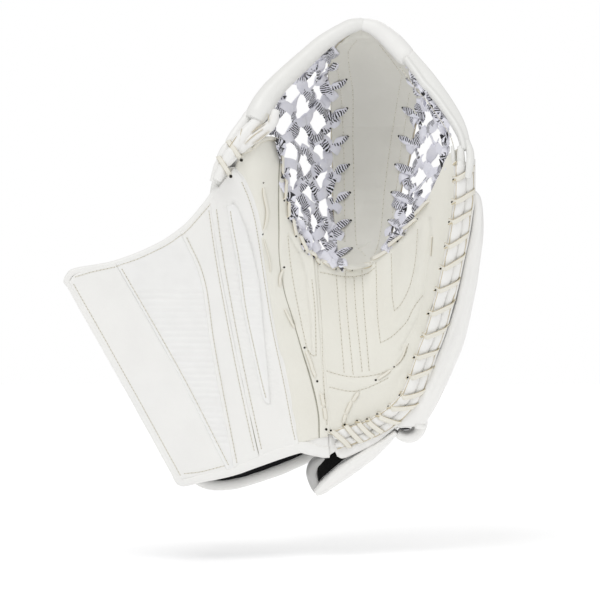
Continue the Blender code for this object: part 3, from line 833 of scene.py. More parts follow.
def ribs(w, low, high, pitch, deep, width=0.75):
    """Narrow creases that run across a panel, one every pitch."""
    phase = (w - low) / pitch
    near = np.abs(phase - np.round(phase)) * pitch
    crown = 0.35 * deep * np.cos(math.pi * near / pitch * 2)
    return (-deep * bell(near, width) - crown) * ease(low - 1, low + 4, w) * (1 - ease(high - 4, high + 1, w))


def build_cuff():
    """The five leathers of the cuff, their loop and the rolled binding."""
    waves = lambda x, w: 0.45 * noise(x, w, 42, 3) + 0.2 * noise(x, w, 17, 5)
    band = Panel([(-77, -50.5), (-124, 35), (-169.5, 117)], stretched(shifted(SEAM_BAND, 0.6), 2.4), None,
                 [(-169.5, 117), (-163.5, 123.7), (-150, 127.6), (-129.6, 132.2)], puff=0.8, roll=1.0,
                 extra=waves)
    band.seams = [row_beside(CUFF_LEFT, 0.9, 0.02, 0.98, 3.0),
                  (beside([(-164, 121.5), (-150, 125.6), (-131, 129.8)], 0), 3.0),
                  (beside([(-72, -49), (-58, -47.5), (-38, -42.5)], -4), 3.0)]
    rib = Panel(stretched(shifted(SEAM_BAND, -0.6), 2.4), stretched(shifted(SEAM_RIB, 0.6), 2.4), None,
                shifted(RIB_TOP, -1, 2.1), raised=[("left", 0.9)], roll=0.7, extra=lambda x,
                w: ribs(w, -24, 114, 5.3, 0.42) + 0.3 * noise(x, w, 40, 11))
    rib.seams = [row_beside(SEAM_BAND, 2.6, 0.02, 0.98, 3.6), (beside(RIB_TOP, -0.2), 3.0)]
    middle = Panel(stretched(shifted(SEAM_RIB, -0.6), 2.4), stretched(shifted(SEAM_GROOVE, -0.35), 2.0), None,
                   shifted(MIDDLE_TOP, -1.4, 1.8), raised=[("left", 0.9)],
                   puff=0.7, roll=0.7, extra=waves)
    middle.seams = [row_beside(SEAM_RIB, 2.6, 0.02, 0.98, 3.2), row_beside(MIDDLE_TOP, -0.2, 0.0, 0.97, 3.0),
                    row_beside(SEAM_GROOVE, -3.2, 0.03, 0.97, 3.2)]
    loop_left = [(-2.2, 13), (-6.8, 18.7), (-15.3, 54.4), (-23.8, 95), (-28.9, 132.6), (-34.9, 165),
                 (-37.3, 181)]
    loop_right = [(1.4, 14.5), (0.9, 18.7), (-1.7, 51), (-5.1, 85), (-8.5, 119), (-17, 154.7), (-25.5, 178.5),
                  (-30.5, 184)]
    loop_top = [(-37.3, 181), (-36.2, 185.5), (-33.8, 186.4), (-30.5, 184)]
    crease = lambda x, w: ribs(w, 17, 170, 5.3, 0.28) * ease(0, 3, distance(x, w, SEAM_THUMB) - 6)
    inner = Panel(shifted(SEAM_GROOVE, 0.25), shifted(SEAM_THUMB, -0.3), None, shifted(INNER_TOP, -1.6, 1.4),
                  off=0.5, thickness=1.5, roll=0.7, raised=[("left", 0.5), ("right", 0.6)],
                  extra=lambda x, w: crease(x, w) + 0.25 * noise(x, w, 30, 21))
    inner.seams = [row_beside(SEAM_GROOVE, 3.2, 0.03, 0.97, 3.2),
                   row_beside(SEAM_THUMB, -2.6, 0.02, 0.95, 2.7)]
    inner.cuts = [(loop_right, 1.6, 0.8), (loop_left, 1.3, 0.4), (loop_top, 1.3, 0.6)]
    loop = Panel(beside(loop_left, 1.0), beside(loop_right, -0.9), None, None, off=-0.15, thickness=0.7,
                 step=1.2, roll=1.0, puff=0.5, puff_width=3, extra=lambda x, w: ribs(w, 71, 155, 5.3, 0.3))
    loop.seams = [row_beside(loop_left, 3.4, 0.03, 0.97, 3.0)]
    panel_piece("cuff_band_leather", band, WHITE, "thumb_side", "cuff_outer_band")
    panel_piece("cuff_rib_textile", rib, RIBBED, "thumb_side", "cuff_rib_panel")
    panel_piece("cuff_middle_leather", middle, WHITE, "thumb_side", "cuff_middle_panel")
    panel_piece("cuff_inner_leather", inner, WHITE, "thumb_side", "cuff_inner_panel")
    panel_piece("cuff_loop_leather", loop, RIBBED, "thumb_side", "cuff_loop_panel", slot="leather_white")
    stitching("cuff_stitching", [band, rib, middle, inner, loop], "thumb_side")
    # A painted shadow strip along the groove seam.
    groove_shadows = [groove_shadow_on(middle, part_of(beside(SEAM_GROOVE, 0.1), 0.01, 0.94), 0.5, -0.9)]
    build("cuff_groove_shadows", groove_shadows, [GROOVE_SHADOW], "thumb_side")
    left = paced(CUFF_LEFT, 3)[::-1][1:-1].tolist()
    edge = [*CUFF_TOP[::-1][1:-1], (-167, 121), (-169, 117), *left[::6], (-76, -49), (-73, -51),
            *CUFF_BOTTOM[1:-1], (36, -21.5), (46, -24), (50.3, -24)]
    line = paced(edge, 1.4)
    d = directions(line)
    low = 1 - ease(2, 8, distance(*line.T, [*CUFF_BOTTOM[:-1], (36, -21.5), (50.3, -24)]))
    deep = 1.5 * ease(-60, -5, line[:, 0]) * low
    out = 2.0 - 0.6 * low + deep
    x = line[:, 0] + d[:, 1] * out
    w = line[:, 1] - d[:, 0] * out
    path = on_surface(x, w, 2.6 - 0.6 * low)
    size = 2.9 + 0.8 * low + deep + 0.14 * noise(x, w, 12, 31)
    piping = sweep(path, unit(path - on_surface(x, w, 4.0)), size, 2.3 + 0.5 * low, sides=20, square=2.2)
    build("cuff_edge_binding", [piping], [WHITE], "thumb_side", "cuff_binding")


# ---- thumb ----

# Lace holes beside the pocket, from the thumb's tip round the crotch to the palm.
WHIP_HOLES = [(6.6, 226), (10.2, 205.7), (12.3, 186.2), (15.7, 171.3), (22.1, 156), (32.7, 141.1),
              (42.5, 132.6), (56.1, 128.4), (69.7, 127.3), (86.9, 133.3), (100.7, 144.1), (113.9, 158),
              (124, 170.5), (134, 186)]
THUMB_EDGE = [(39, 137.5), (33.5, 144.5), (25.2, 157.8), (18.7, 172.5), (15.3, 187), (13.2, 206), (11.5, 220),
              (9.4, 229)]


def outward_from_holes(k):
    """The way from a lace hole over the leather's edge into the pocket."""
    holes = np.array(WHIP_HOLES, float)
    run = unit(holes[min(k + 1, len(holes) - 1)] - holes[max(k - 1, 0)])
    return np.array([-run[1], run[0]])


def whip_strand(panel, k, reach=3.6):
    """The lace from one hole to the next, lying over the leather's edge."""
    holes = np.array(WHIP_HOLES, float)
    low, high = holes[k + 1], holes[k]
    out = outward_from_holes(k)
    points = [low, low + 0.22 * (high - low) + 0.5 * out, low + 0.62 * (high - low) + 0.45 * reach * out,
              high + reach * out]
    line = paced(points, 0.8)
    t = progress(line)
    rise = ease(0, 0.15, t) * ease(0, 0.18, 1 - t)
    off = -1.5 * rise - 0.6 * arch(t) + 1.6 * (1 - rise) + 1.5 * ease(0.75, 1, t)
    path = on_surface(*line.T, off, panel.depth)
    up = panel.normal(*line.T)
    return sweep(path, up, 1.65 * (0.7 + 0.3 * ease(0, 0.3, t)), 0.62, edge=1)


def build_thumb():
    """The thumb face and the narrow panel beside the break, with their laces."""
    crease = lambda x, w: 0.5 * noise(x, w, 34, 41) + 0.16 * noise(x, w, 12, 43)
    face = Panel(shifted(SEAM_THUMB, -1.2), shifted(BREAK_GROOVE, -0.2), None, THUMB_TOP, off=0.1, puff=0.9,
                 raised=[("left", -0.7)], extra=crease)
    face.holes = [(-5.5, 200.4), (-5.6, 158.2)]
    spine = [(spine_x(w) - 0.08, w) for w in (-14, 60, 137)]
    inner = Panel(shifted(BREAK_GROOVE, 0.2), [*spine, *THUMB_EDGE[1:]], off=0.0, puff=0.7, extra=None)
    j_groove = [(16.2, 157.3), (21.3, 148.8), (28, 136), (31.3, 122), (32.6, 108), (34.9, 85), (36.1, 57.8)]
    left_seam = [(15.3, 156), (17, 136), (21.3, 109), (29.8, 68), (33.2, 57.8), (38.3, 54.4), (39.1, 59.5),
                 (38.3, 93.5), (35.7, 119)]
    spine_seam = [(40.8, 131), (43.4, 91.8), (45, 51), (46.2, 25.5), (48.6, -3.4)]
    inner.seams = [(left_seam, 3.2), (spine_seam, 3.6)]
    inner.cuts = [(j_groove, 0.9, 1.2)]
    inner.holes = [(11.9, 129.3), (29.8, 61.2), (40, 33.6), (43.4, 24.2), (47.8, -7.7)]
    inside = lambda x, w: ease(0, 3, x - np.interp(w, [58, 68, 109, 136, 156], [33, 30.5, 22, 18, 16]))
    short = lambda x, w: inside(x, w) * ease(0, 2, 34 - 0.06 * (w - 60) - x)
    inner.extra = lambda x, w: crease(x, w) + ribs(w, 58, 150, 5.3, 0.22) * short(x, w)
    panel_piece("thumb_leather", face, IVORY, "thumb_side", "thumb_face", CUT)
    panel_piece("thumb_crotch_leather", inner, IVORY, "thumb_side", "thumb_crotch_panel", CUT)
    stitching("thumb_stitching", [face, inner], "thumb_side")
    # Painted shadow strips along the J groove and the break groove.
    groove_shadows = [groove_shadow_on(inner, j_groove, 0.6, -0.5)]
    line = paced(BREAK_GROOVE, 1.2)
    groove_shadows.append(sweep(on_surface(*line.T, 0.9), face.normal(*line.T), 0.6, 0.3, sides=8))
    build("thumb_groove_shadows", groove_shadows, [GROOVE_SHADOW], "thumb_side")
    backing = []
    for seam, off in ((SEAM_THUMB, 1.3), (SEAM_GROOVE, 1.3)):
        line = paced(seam, 1.5)
        backing.append(sweep(on_surface(*line.T, off), face.normal(*line.T), 2.6, 0.6, 10, 2.6))
    build("seam_backing", backing, [WHITE], "thumb_side")
    laces = [lace_on(face, [(-5.5, 199.8), (-4.9, 190), (-2.6, 178.5), (-3.0, 169), (-5.5, 159)], 3.2),
             lace_on(face, [(-5.3, 156), (-4.3, 150.5), (-0.9, 137), (0.9, 123.3)], 1.5),
             lace_on(inner, [(11.9, 128.4), (9.0, 123.5), (8.3, 118), (8.7, 112)], 2.6),
             lace_on(inner, [(11.9, 95.5), (16.6, 86), (21.3, 77.4)], 2.2),
             lace_on(inner, [(29.8, 60.5), (33.6, 51), (36.5, 42), (39.8, 34.5)], 3.0),
             lace_on(inner, [(43.6, 23.6), (44.6, 17), (45.9, 11)], 3.2),
             lace_on(inner, [(45.9, 11.6), (46.7, 5), (47.5, -0.5)], 3.2)]
    laces += [hole_on(face, -5.5, 201.2, 1.0), hole_on(face, -5.6, 157.3, 1.0), hole_on(inner, 12.2, 129.9),
              hole_on(inner, 29.4, 61.8), hole_on(inner, 40.4, 33), hole_on(inner, 47.8, -7.7, 1.5)]
    build("break_lacing", laces, [LACE, CUT, HOLE], "thumb_side", "break_lace")
    strands = [whip_strand(inner, k) for k in range(5)]
    strands += [hole_on(inner, x, w, 0.9) for x, w in WHIP_HOLES[1:6]]
    build("thumb_edge_lacing", strands, [LACE, CUT, HOLE], "thumb_side", "thumb_edge_lace")


# ---- palm ----

PALM_EDGE = [(105.2, 11), (112.8, 23.5), (119.2, 38.5), (124.6, 55.6), (131.7, 73.6), (136.8, 93.4),
             (142.5, 112.7), (146.8, 132), (150.4, 150.5), (153.5, 170), (155.9, 187.5), (157, 205),
             (157.5, 229)]
PALM_BOTTOM = [(51.6, -12.5), (58, -8.5), (65, -6), (75.5, -2.3), (84.6, -0.9), (93.5, 4), (105.2, 11)]
PALM_TOP = [(39, 139), (44.5, 134.9), (57, 130.6), (70.5, 129.6), (86, 135.4), (99.2, 146.3), (112, 160),
            (122, 172.5), (132.3, 187.5), (139, 201), (145, 214), (149.5, 224), (157.5, 229)]


def build_palm():
    """The palm face with its stitch lines and padding, and the lace round the crotch."""
    spine = [(spine_x(w) + 0.08, w) for w in (-12.5, 60, 139)]
    upright = [[(56.4, 122.4), (58.7, 93.5), (62.9, 40.8)], [(64, 127.5), (65.5, 93.5), (70.6, 39)],
               [(71.4, 121.6), (73, 93.5), (78.2, 41.7)], [(78.2, 126.7), (79.9, 93.5), (84.2, 42.5)]]
    lines = [[(43.4, 125.5), (56, 123), (68, 121.6), (81.6, 124), (88.4, 129)], *upright,
             [(90, 133.5), (91, 93.5), (93.5, 66.5)],
             [(94, 65.8), (103.7, 71.4), (115.6, 83.3), (121.6, 95.2), (128.4, 105.4)],
             [(103, 141), (103.7, 114), (105.2, 93.5)],
             [(105.6, 92.9), (112.2, 100.3), (119, 115.6), (123.3, 136), (125, 161.5)],
             [(48.5, 41.7), (59.5, 38.3), (71.4, 36.6), (83.3, 37.4), (95.2, 40), (106.3, 45), (113.9, 54.4),
              (117.3, 64.6)], [(51, 28), (66.3, 24.7), (76.5, 25.5), (88.4, 29.8), (100.3, 35.7)]]
    side_seam = [(133.5, 170), (134.3, 149.6), (130, 110.5), (125.8, 88.4), (119, 74.8), (111, 60)]
    padding = ((1.2, 5.5, [(97, 140), (98, 100), (99.5, 80)]), (1.3, 6, [(112, 150), (112, 125), (107, 104)]),
               (1.0, 4.5, [(129.5, 160), (126, 122), (118, 96), (106, 80)]),
               (1.2, 4.5, [(113, 48), (98, 33), (78, 31), (54, 34)]))

    def swell(x, w):
        edge = 1.3 * (1 - ease(0.5, 8, distance(x, w, PALM_EDGE)))
        edge = edge + 0.6 * (1 - ease(0.5, 6, distance(x, w, PALM_BOTTOM)))
        pads = sum(height * bell(distance(x, w, line), width) for height, width, line in padding)
        fold = 0.9 * bell(distance(x, w, side_seam), 2.2)
        return edge + pads - fold + 0.5 * noise(x, w, 36, 51) + 0.15 * noise(x, w, 11, 53)

    palm = Panel(spine, PALM_EDGE, PALM_BOTTOM, PALM_TOP, step=1.15, roll=0.8, thickness=2.0, extra=swell)
    palm.seams = [(line, STITCH_PITCH) for line in lines]
    palm.cuts = [(side_seam, 0.8, 0.55)]
    palm.holes = [inner for inner, _ in RIM_WRAPS] + WHIP_HOLES[6:]
    palm.holes = palm.holes + [(90.3, 34.4), (105.6, 45.7), (75.8, 24.4)]
    w = np.linspace(-12, 138, 120)
    build("spine_gusset", [sweep(on_surface(spine_x(w), w, 1.1), FRONT, 2.4, 0.7, 10, 2.6)], [IVORY],
          "finger_side")
    panel_piece("palm_leather", palm, IVORY, "finger_side", "palm_face", CUT)
    stitching("palm_stitching", [palm], "finger_side")
    laces = [lace_on(palm, [(90.4, 34.2), (97, 38.3), (103.7, 43.4)], 2.4),
             lace_on(palm, [(106, 46), (112, 52.7), (116.5, 64.6)], 1.8),
             lace_on(palm, [(75.7, 24.2), (72.6, 20), (69.7, 15.3)], 3.0),
             lace_on(palm, [(69.4, 16), (66.5, 10), (64.2, 4.5)], 3.0),
             lace_on(palm, [(64.4, 5.2), (62.9, 0.5), (62, -3.8)], 2.8),
             lace_on(palm, [(136.9, 157), (136.7, 150), (135.7, 137.7)], 1.6),
             lace_on(palm, [(52.7, -10), (60, -17), (66.3, -23)], 3.0)]
    laces += [hole_on(palm, 89.8, 33.8, 1.0), hole_on(palm, 105.4, 45.2, 0.8)]
    build("palm_lacing", laces, [LACE, CUT, HOLE], "finger_side")
    strands = [whip_strand(palm, k) for k in range(5, len(WHIP_HOLES) - 1)]
    strands += [hole_on(palm, x, w, 0.9) for x, w in WHIP_HOLES[6:-1]]
    build("crotch_lacing", strands, [LACE, CUT, HOLE], "finger_side", "crotch_lace")


# ---- rim ----

class Rim:
    """The frame that runs along the middle of the two padded rolls."""

    def __init__(self):
        self.line = paced(RIM_PATH, 1.0)
        self.run = travel(self.line)
        self.centre = on_surface(*self.line.T, -1.0)
        along = unit(np.gradient(self.centre, axis=0))
        facing = np.array([0.35, -1.0, 0.0])
        self.away = unit(facing - along * (along @ facing)[:, None])
        self.side = np.cross(along, self.away)

    def locate(self, point):
        """How far along the rim a layout point is, and how far to the outer side."""
        gap = np.array(point, float) - self.line
        k = int(np.argmin((gap**2).sum(axis=1)))
        d = directions(self.line)[k]
        return self.run[k], float(gap[k] @ np.array([d[1], -d[0]]))

    def point(self, t, side, away):
        """Points along the rim, to its outer side and out in front of it."""
        side = np.broadcast_to(side, np.shape(t))[:, None]
        away = np.broadcast_to(away, np.shape(t))[:, None]
        out = sampled(t, self.run, self.centre)
        return out + (sampled(t, self.run, self.side) * side + sampled(t, self.run, self.away) * away) * MM


def rim_height(s):
    """How far the lace stands in front of the rim's middle where it crosses the rolls."""
    return 4.6 * (1 - np.minimum(np.abs((s - 0.6) / 9.6), 1) ** 3.4) ** 0.5


def build_rim():
    """The two padded rolls on the finger side, their raw edges and the lace wound round both."""
    rim = Rim()
    wraps = [(*rim.locate(inner), *rim.locate(outer)) for inner, outer in RIM_WRAPS]
    middles = np.array([(w[0] + w[2]) / 2 for w in wraps])
    t = np.arange(2.0, rim.run[-1] - 1.0, 0.9)

    def pinch(t, lean):
        """1 where a lace crosses the rolls, 0 between the laces."""
        near = np.min(np.abs((t - lean)[:, None] - middles[None]), axis=1)
        return bell(near, 3.2)

    bits = {}
    for name, centre, wide, thick, lean in (("inner", -2.3, 4.9, 3.9, -1.6), ("outer", 5.3, 3.5, 3.6, 2.0)):
        squeeze = pinch(t, lean)
        wave = wander(t, 7, 61 + len(name))
        w = wide * (1 + 0.05 * wave - 0.12 * squeeze)
        h = thick * (1.05 + 0.05 * wave - 0.20 * squeeze)
        path = rim.point(t, centre + 0.25 * wave, -0.4 * squeeze)
        end = np.minimum(ease(0, 5, t - t[0]), ease(0, 5, t[-1] - t)) * 0.6 + 0.4
        bits[name] = sweep(path, sampled(t, rim.run, rim.away), w * end, h * end, sides=22, square=2.5)
    for name, bit in bits.items():
        build(f"rim_roll_{name}_leather", [bit], [WHITE], "finger_side", f"rim_roll_{name}", fill=0.9)
    squeeze = pinch(t, 2.0)
    trims = []
    for side, away, size in ((8.15, 1.7, 0.50), (-6.7, 2.2, 0.38)):
        bulge = 0.5 * (1 - squeeze) if side > 8 else 0.0
        trims.append(sweep(rim.point(t, side + bulge, away - 0.3 * squeeze), sampled(t, rim.run, rim.away),
                           size, size * 0.9, 8, 2.0))
    build("rim_raw_edges", trims, [CUT], "finger_side")
    strip = sweep(rim.point(t[20:], 10.0, -1.4), sampled(t[20:], rim.run, rim.away), 1.5, 3.0)
    build("rim_outer_strip", [strip], [WHITE], "finger_side")
    parts = []
    for k, (t_in, s_in, t_out, s_out) in enumerate(wraps):
        q = np.linspace(0, 1, 26)
        s = s_in + (s_out + 0.6 - s_in) * q
        height = rim_height(s) + 0.5
        height = np.where(q < 0.12, -1.8 + (height[3] + 1.8) * ease(0, 0.12, q), height)
        tt = t_in + (t_out - t_in) * q
        turn = np.sign(s) * np.minimum(np.abs(s / 10.2), 1) ** 3 * math.pi / 2
        over = rim.point(tt, s, height)
        away, side = sampled(tt, rim.run, rim.away), sampled(tt, rim.run, rim.side)
        look = away * np.cos(turn)[:, None] + side * np.sin(turn)[:, None]
        after = wraps[k + 1] if k + 1 < len(wraps) else (t_in + 14, s_in, t_out, s_out)
        b = np.linspace(0, 1, 14)[1:]
        ss = s[-1] + (after[1] - s[-1]) * ease(0, 1, b)
        under = rim.point(t_out + (after[0] - t_out) * b, ss, height[-1] - 5.6 * arch(b) ** 0.5)
        back = -sampled(t_out + (after[0] - t_out) * b, rim.run, rim.away)
        parts.append(sweep(np.concatenate([over, under]), np.concatenate([look, back]), 2.2, 0.72, edge=1))
        hole = rim.point(np.array([t_in - 0.2]), s_in - 0.5, 0.5)
        up = sampled(np.array([t_in]), rim.run, rim.away)
        parts.append(beads(hole, unit(np.cross(up, [[0.2, 0.1, 0.9]])), up, 0.9, 0.9, 0.3, sides=12, which=2))
    build("rim_lacing", parts, [LACE, CUT, HOLE], "finger_side", "rim_lace")


# ---- pocket ----

T_EDGE_LEFT = [(59, 131), (57, 153), (55, 174), (54, 196), (54, 218), (53, 243), (52.5, 266), (51, 284),
               (50, 298), (54, 311), (63, 322), (70, 328)]
T_EDGE_RIGHT = [(98, 140), (102, 158), (106, 176), (111, 198), (117, 220), (121, 242), (125.5, 266),
                (127, 285), (120, 299), (92, 322)]
T_HOLE_PITCH = 23.8
T_HOLES_LEFT = [(69.4 - 0.034 * (w - 146), w) for w in np.arange(146, 290, T_HOLE_PITCH)]
T_HOLES_RIGHT = [(98.0 + 0.124 * (w - 148), w) for w in np.arange(146, 290, T_HOLE_PITCH)]


def build_t_web():
    """The T web, front and back, and the lace down each of its sides."""
    middle = lambda x, w: 0.9 * bell(x - 86, 13) * ease(150, 190, w)
    folds = lambda x, w: -0.55 * bell(w - 196 - 0.10 * (x - 85), 1.6) - 0.6 * bell(w - 184, 2.4)
    dents = lambda x, w: folds(x, w) * ease(74, 82, x) * (1 - ease(90, 97, x)) + 0.5 * noise(x, w, 24, 71)
    face = Panel(T_EDGE_LEFT, T_EDGE_RIGHT, [(59, 131), (70, 127.5), (84, 131), (98, 140)],
                 [(70, 328), (80, 333), (92, 322)], depth=web_depth, step=1.4, thickness=2.2, roll=1.0,
                 extra=lambda x, w: middle(x, w) + dents(x, w))
    left_in = [(80.8, 140), (73.6, 150), (72.3, 174), (71.7, 195.5), (71.2, 217), (70.7, 238), (70.7, 259),
               (70.3, 280), (67.3, 299), (66.4, 311)]
    right_in = [(89, 141.5), (92, 151), (95, 169), (97.8, 195.5), (99.9, 217), (104, 245.4), (108.9, 277.3),
                (111.6, 292)]
    face.seams = [(left_in, 3.9), ([(66.4, 312), (69.5, 316.5), (73.5, 322)], 3.9), (right_in, 3.9),
                  ([(111, 293), (104, 304), (93.5, 317.7)], 3.9),
                  ([(63.8, 152), (63.2, 195.5), (62.7, 238), (60.6, 275), (57.2, 302)], 4.4),
                  ([(103.5, 172), (108.4, 204), (111, 227.4), (114.8, 250.8), (118, 277)], 4.4)]
    face.cuts = [([(78.5, 329), (78.3, 324)], 1.4, 0.8)]
    face.holes = T_HOLES_LEFT + T_HOLES_RIGHT
    # The T web takes the greyer ivory with the pocket's shade painted in.
    panel_piece("t_web_leather", face, SHADED, "finger_side", "t_web_face", CUT)
    stitching("t_web_stitching", [face], "finger_side")
    quilting = lambda x, w: 1.6 * np.abs(np.sin(math.pi * (x - 60) / 12.5)) ** 0.6 + 0.4 * noise(x, w, 30, 73)
    back = Panel(shifted(T_EDGE_LEFT, 1.5), shifted(T_EDGE_RIGHT, -2.5), None, None, depth=web_depth, off=5.4,
                 thickness=2.4, step=1.8, extra=quilting, way=1)
    gusset = Panel([(60, 122), (56, 140)], [(98, 140), (100, 158)], [(60, 122), (78, 122), (98, 140)], None,
                   depth=flat_depth(47), thickness=2.0, step=3.0, roll=0.6)
    # The gusset takes the same painted-shade ivory as the T web.
    build("crotch_gusset", [gusset.bits(0)], [SHADED], "finger_side")
    panel_piece("t_web_backing", back, WHITE, "finger_side", "t_web_back")
    for side, holes, away, node in (("left", T_HOLES_LEFT, -1, "t_lace_left"),
                                    ("right", T_HOLES_RIGHT, 1, "t_lace_right")):
        bits = []
        for k, (x, w) in enumerate(holes):
            bits.append(t_loop(face, x, w, away, k))
            bits.append((*hole_on(face, x - away * 0.4, w + 0.3, 1.35)[:2], 1))
        build("t_web_lacing_" + side, bits, [NETTING, HOLE], "finger_side", node, slot="leather_lace")


def t_loop(panel, x, w, away, k):
    """The lace from a hole in the T to the netting, over the T's edge."""
    line = paced([(x, w), (x + away * 5, w - 2.2), (x + away * 10, w - 4.8), (x + away * 16, w - 7.5)], 0.7)
    t = progress(line)
    off = -1.3 * arch(np.minimum(t * 1.6, 1)) - 0.5 + 1.6 * (1 - ease(0, 0.1, t)) + 2.5 * ease(0.55, 1, t)
    path = on_surface(*line.T, off, panel.depth)
    up = panel.normal(*line.T)
    return ribbon(path, up, 3.5 * (0.45 + 0.55 * ease(0, 0.45, t)), 0.6, 20.0 * k, 1.0, turn=0.25 * away)


def ribbon(path, up, half_width, half_thick, phase, amount, turn=0.0):
    """Flat woven lace. Its points carry how far along and across the lace they are, for the woven ticks."""
    sides = 16
    count = len(path)
    along = unit(np.gradient(path, axis=0))
    side = unit(np.cross(up, along))
    turn = np.broadcast_to(turn, (count,))[:, None]
    up = np.cross(along, side)
    up = up * np.cos(turn) + side * np.sin(turn)
    verts, faces, which = sweep(path, up, half_width, half_thick, sides, square=3.0)
    run = travel(path) / MM + phase
    angle = np.linspace(0, 2 * math.pi, sides, endpoint=False)
    across = np.sign(np.cos(angle)) * np.abs(np.cos(angle)) ** (2 / 3)
    strand = np.stack(np.broadcast_arrays(run[:, None], across[None], amount), axis=-1).reshape(-1, 3)
    caps = [[run[0], 0, 0], [run[-1], 0, 0]]
    return verts, faces, which, np.concatenate([strand, caps])


class Net:
    """Knotted netting between two edges: rows of diamonds of flat lace."""

    def __init__(self, inner, outer, columns, low, rows, pitch, seed):
        self.inner, self.outer = smooth(inner), smooth(outer)
        self.columns, self.low, self.rows, self.pitch = columns, low, rows, pitch
        self.random = np.random.default_rng(seed)
        self.jitter = self.random.uniform(-1, 1, (columns + 1, rows + 2, 3))

    def knot(self, column, row):
        """The layout place of a knot. Odd columns stand half a row higher."""
        w = self.low + self.pitch * (row + 0.5 * (column % 2))
        w = np.clip(w + 1.6 * self.jitter[column, row, 1], self.inner[0, 1], self.inner[-1, 1])
        a, b = edge_at(self.inner, w), edge_at(self.outer, w)
        s = column / self.columns
        x = a + (b - a) * s + 1.1 * self.jitter[column, row, 0] * (0 < column < self.columns)
        return np.array([x, w])

    def deep(self, x, w):
        """How far the netting lies back near the rim, so that it passes behind the leather there."""
        a, b = edge_at(self.inner, w), edge_at(self.outer, w)
        return 4.5 * ease(0.72, 0.98, (x - a) / (b - a))

    def strand(self, start, end, k, amount=1.0):
        toward = 2.6 * np.sign(end[0] - start[0])
        start, end = start + [toward, 0], end - [toward, 0]
        gap = end - start
        length = np.linalg.norm(gap)
        bend = np.array([-gap[1], gap[0]]) / length
        lean = self.random.uniform(-0.9, 0.9)
        points = [start, start + 0.33 * gap + lean * bend, start + 0.67 * gap - lean * bend, end]
        line = paced(points, 0.65)
        t = progress(line)
        front = 1.5 if k % 2 else -1.2
        off = 2.0 + front * np.cos(math.pi * t) - 0.5 * arch(t) + self.deep(*line.T)
        path = on_surface(*line.T, off, web_depth)
        up = facing(*line.T, web_depth)
        width = 5.4 * (0.76 + 0.24 * arch(t) ** 0.7)
        turn = self.random.uniform(-0.5, 0.5) + self.random.uniform(-0.45, 0.45) * np.cos(math.pi * t)
        return ribbon(path, up, width, 0.55, self.random.uniform(0, 40), amount, turn)

    def wrap(self, centre, k, spread=5.2):
        """The lace's turn round a knot."""
        angle = self.random.uniform(-0.5, 0.5) + (0.9 if k % 2 else 2.2)
        reach = np.array([math.cos(angle), math.sin(angle)]) * spread
        line = paced([centre - reach, centre - 0.3 * reach, centre + 0.3 * reach, centre + reach], 0.6)
        t = np.linspace(-1, 1, len(line))
        off = 1.6 - 3.0 * np.cos(math.pi / 2 * t) + self.deep(*line.T)
        path = on_surface(*line.T, off, web_depth)
        up = facing(*line.T, web_depth)
        return ribbon(path, up, 4.3 - 0.6 * t**2, 0.55, self.random.uniform(0, 40),
                      0.9 * (self.random.random() < 0.5))

    def bits(self):
        out = []
        for column in range(self.columns):
            for row in range(self.rows + 1):
                start = self.knot(column, row)
                for step in ((0, -1) if column % 2 == 0 else (1, 0)):
                    if not 0 <= row + step <= self.rows:
                        continue
                    end = self.knot(column + 1, row + step)
                    if np.linalg.norm(end - start) > 4:
                        out.append(self.strand(start, end, column + row + step,
                                               float(self.random.random() < 0.8)))
                out.append(self.wrap(start, column + row))
        return out


def build_nets():
    """The netting left and right of the T web."""
    left_rim = [(41, 140), (25, 156), (17, 172), (12.5, 187), (9.5, 206), (7, 226), (2, 242), (0, 252),
                (2, 263), (12, 282), (27, 296), (44, 311)]
    left_t = [(61, 134), (59, 153), (57.5, 174), (56.5, 196), (56.5, 218), (55.5, 243), (55, 262), (53, 280),
              (53, 296), (56, 311)]
    right_t = [(98, 146), (102, 164), (107, 180), (111, 200), (117, 222), (120, 243), (123, 262), (124, 284),
               (120, 300)]
    right_rim = [(105, 147), (116, 158), (127, 171), (138, 187), (146, 203), (152, 221), (152, 242),
                 (147, 263), (137, 284), (127, 302)]
    left = Net(left_t, left_rim, 4, 134, 7, T_HOLE_PITCH, 81)
    net = build("net_left_lace", left.bits(), [NETTING], None, "net_left")
    tuple(place(52.0, 220.0, 60.0))
    tuple(place(10.0, 220.0, -8.0))
    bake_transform(net)
    right = Net(right_t, right_rim, 3, 136, 7, T_HOLE_PITCH, 85)
    build("net_right_lace", right.bits(), [NETTING], "finger_side", "net_right")


# ---- rolls ----

def padded_tube(path, up, radius, sides=36, square=2.1):
    """A padded roll, and how firmly each of its points is held: at both ends, along its sewn back and at
    faint tucks."""
    bit = sweep(path, up, radius, radius, sides, square)
    run = travel(path) / MM
    ends = bell(np.minimum(run, run[-1] - run), 3.5)
    tucks = 0.6 * bell(((run / 23) % 1.0 - 0.5) * 23, 1.6)
    angle = np.linspace(0, 2 * math.pi, sides, endpoint=False)
    sewn = bell(angle - 1.5 * math.pi, 0.35)
    held = np.maximum(np.maximum(ends, tucks)[:, None] + 0 * angle, sewn[None])
    return bit, np.concatenate([held.ravel(), [1, 1]])


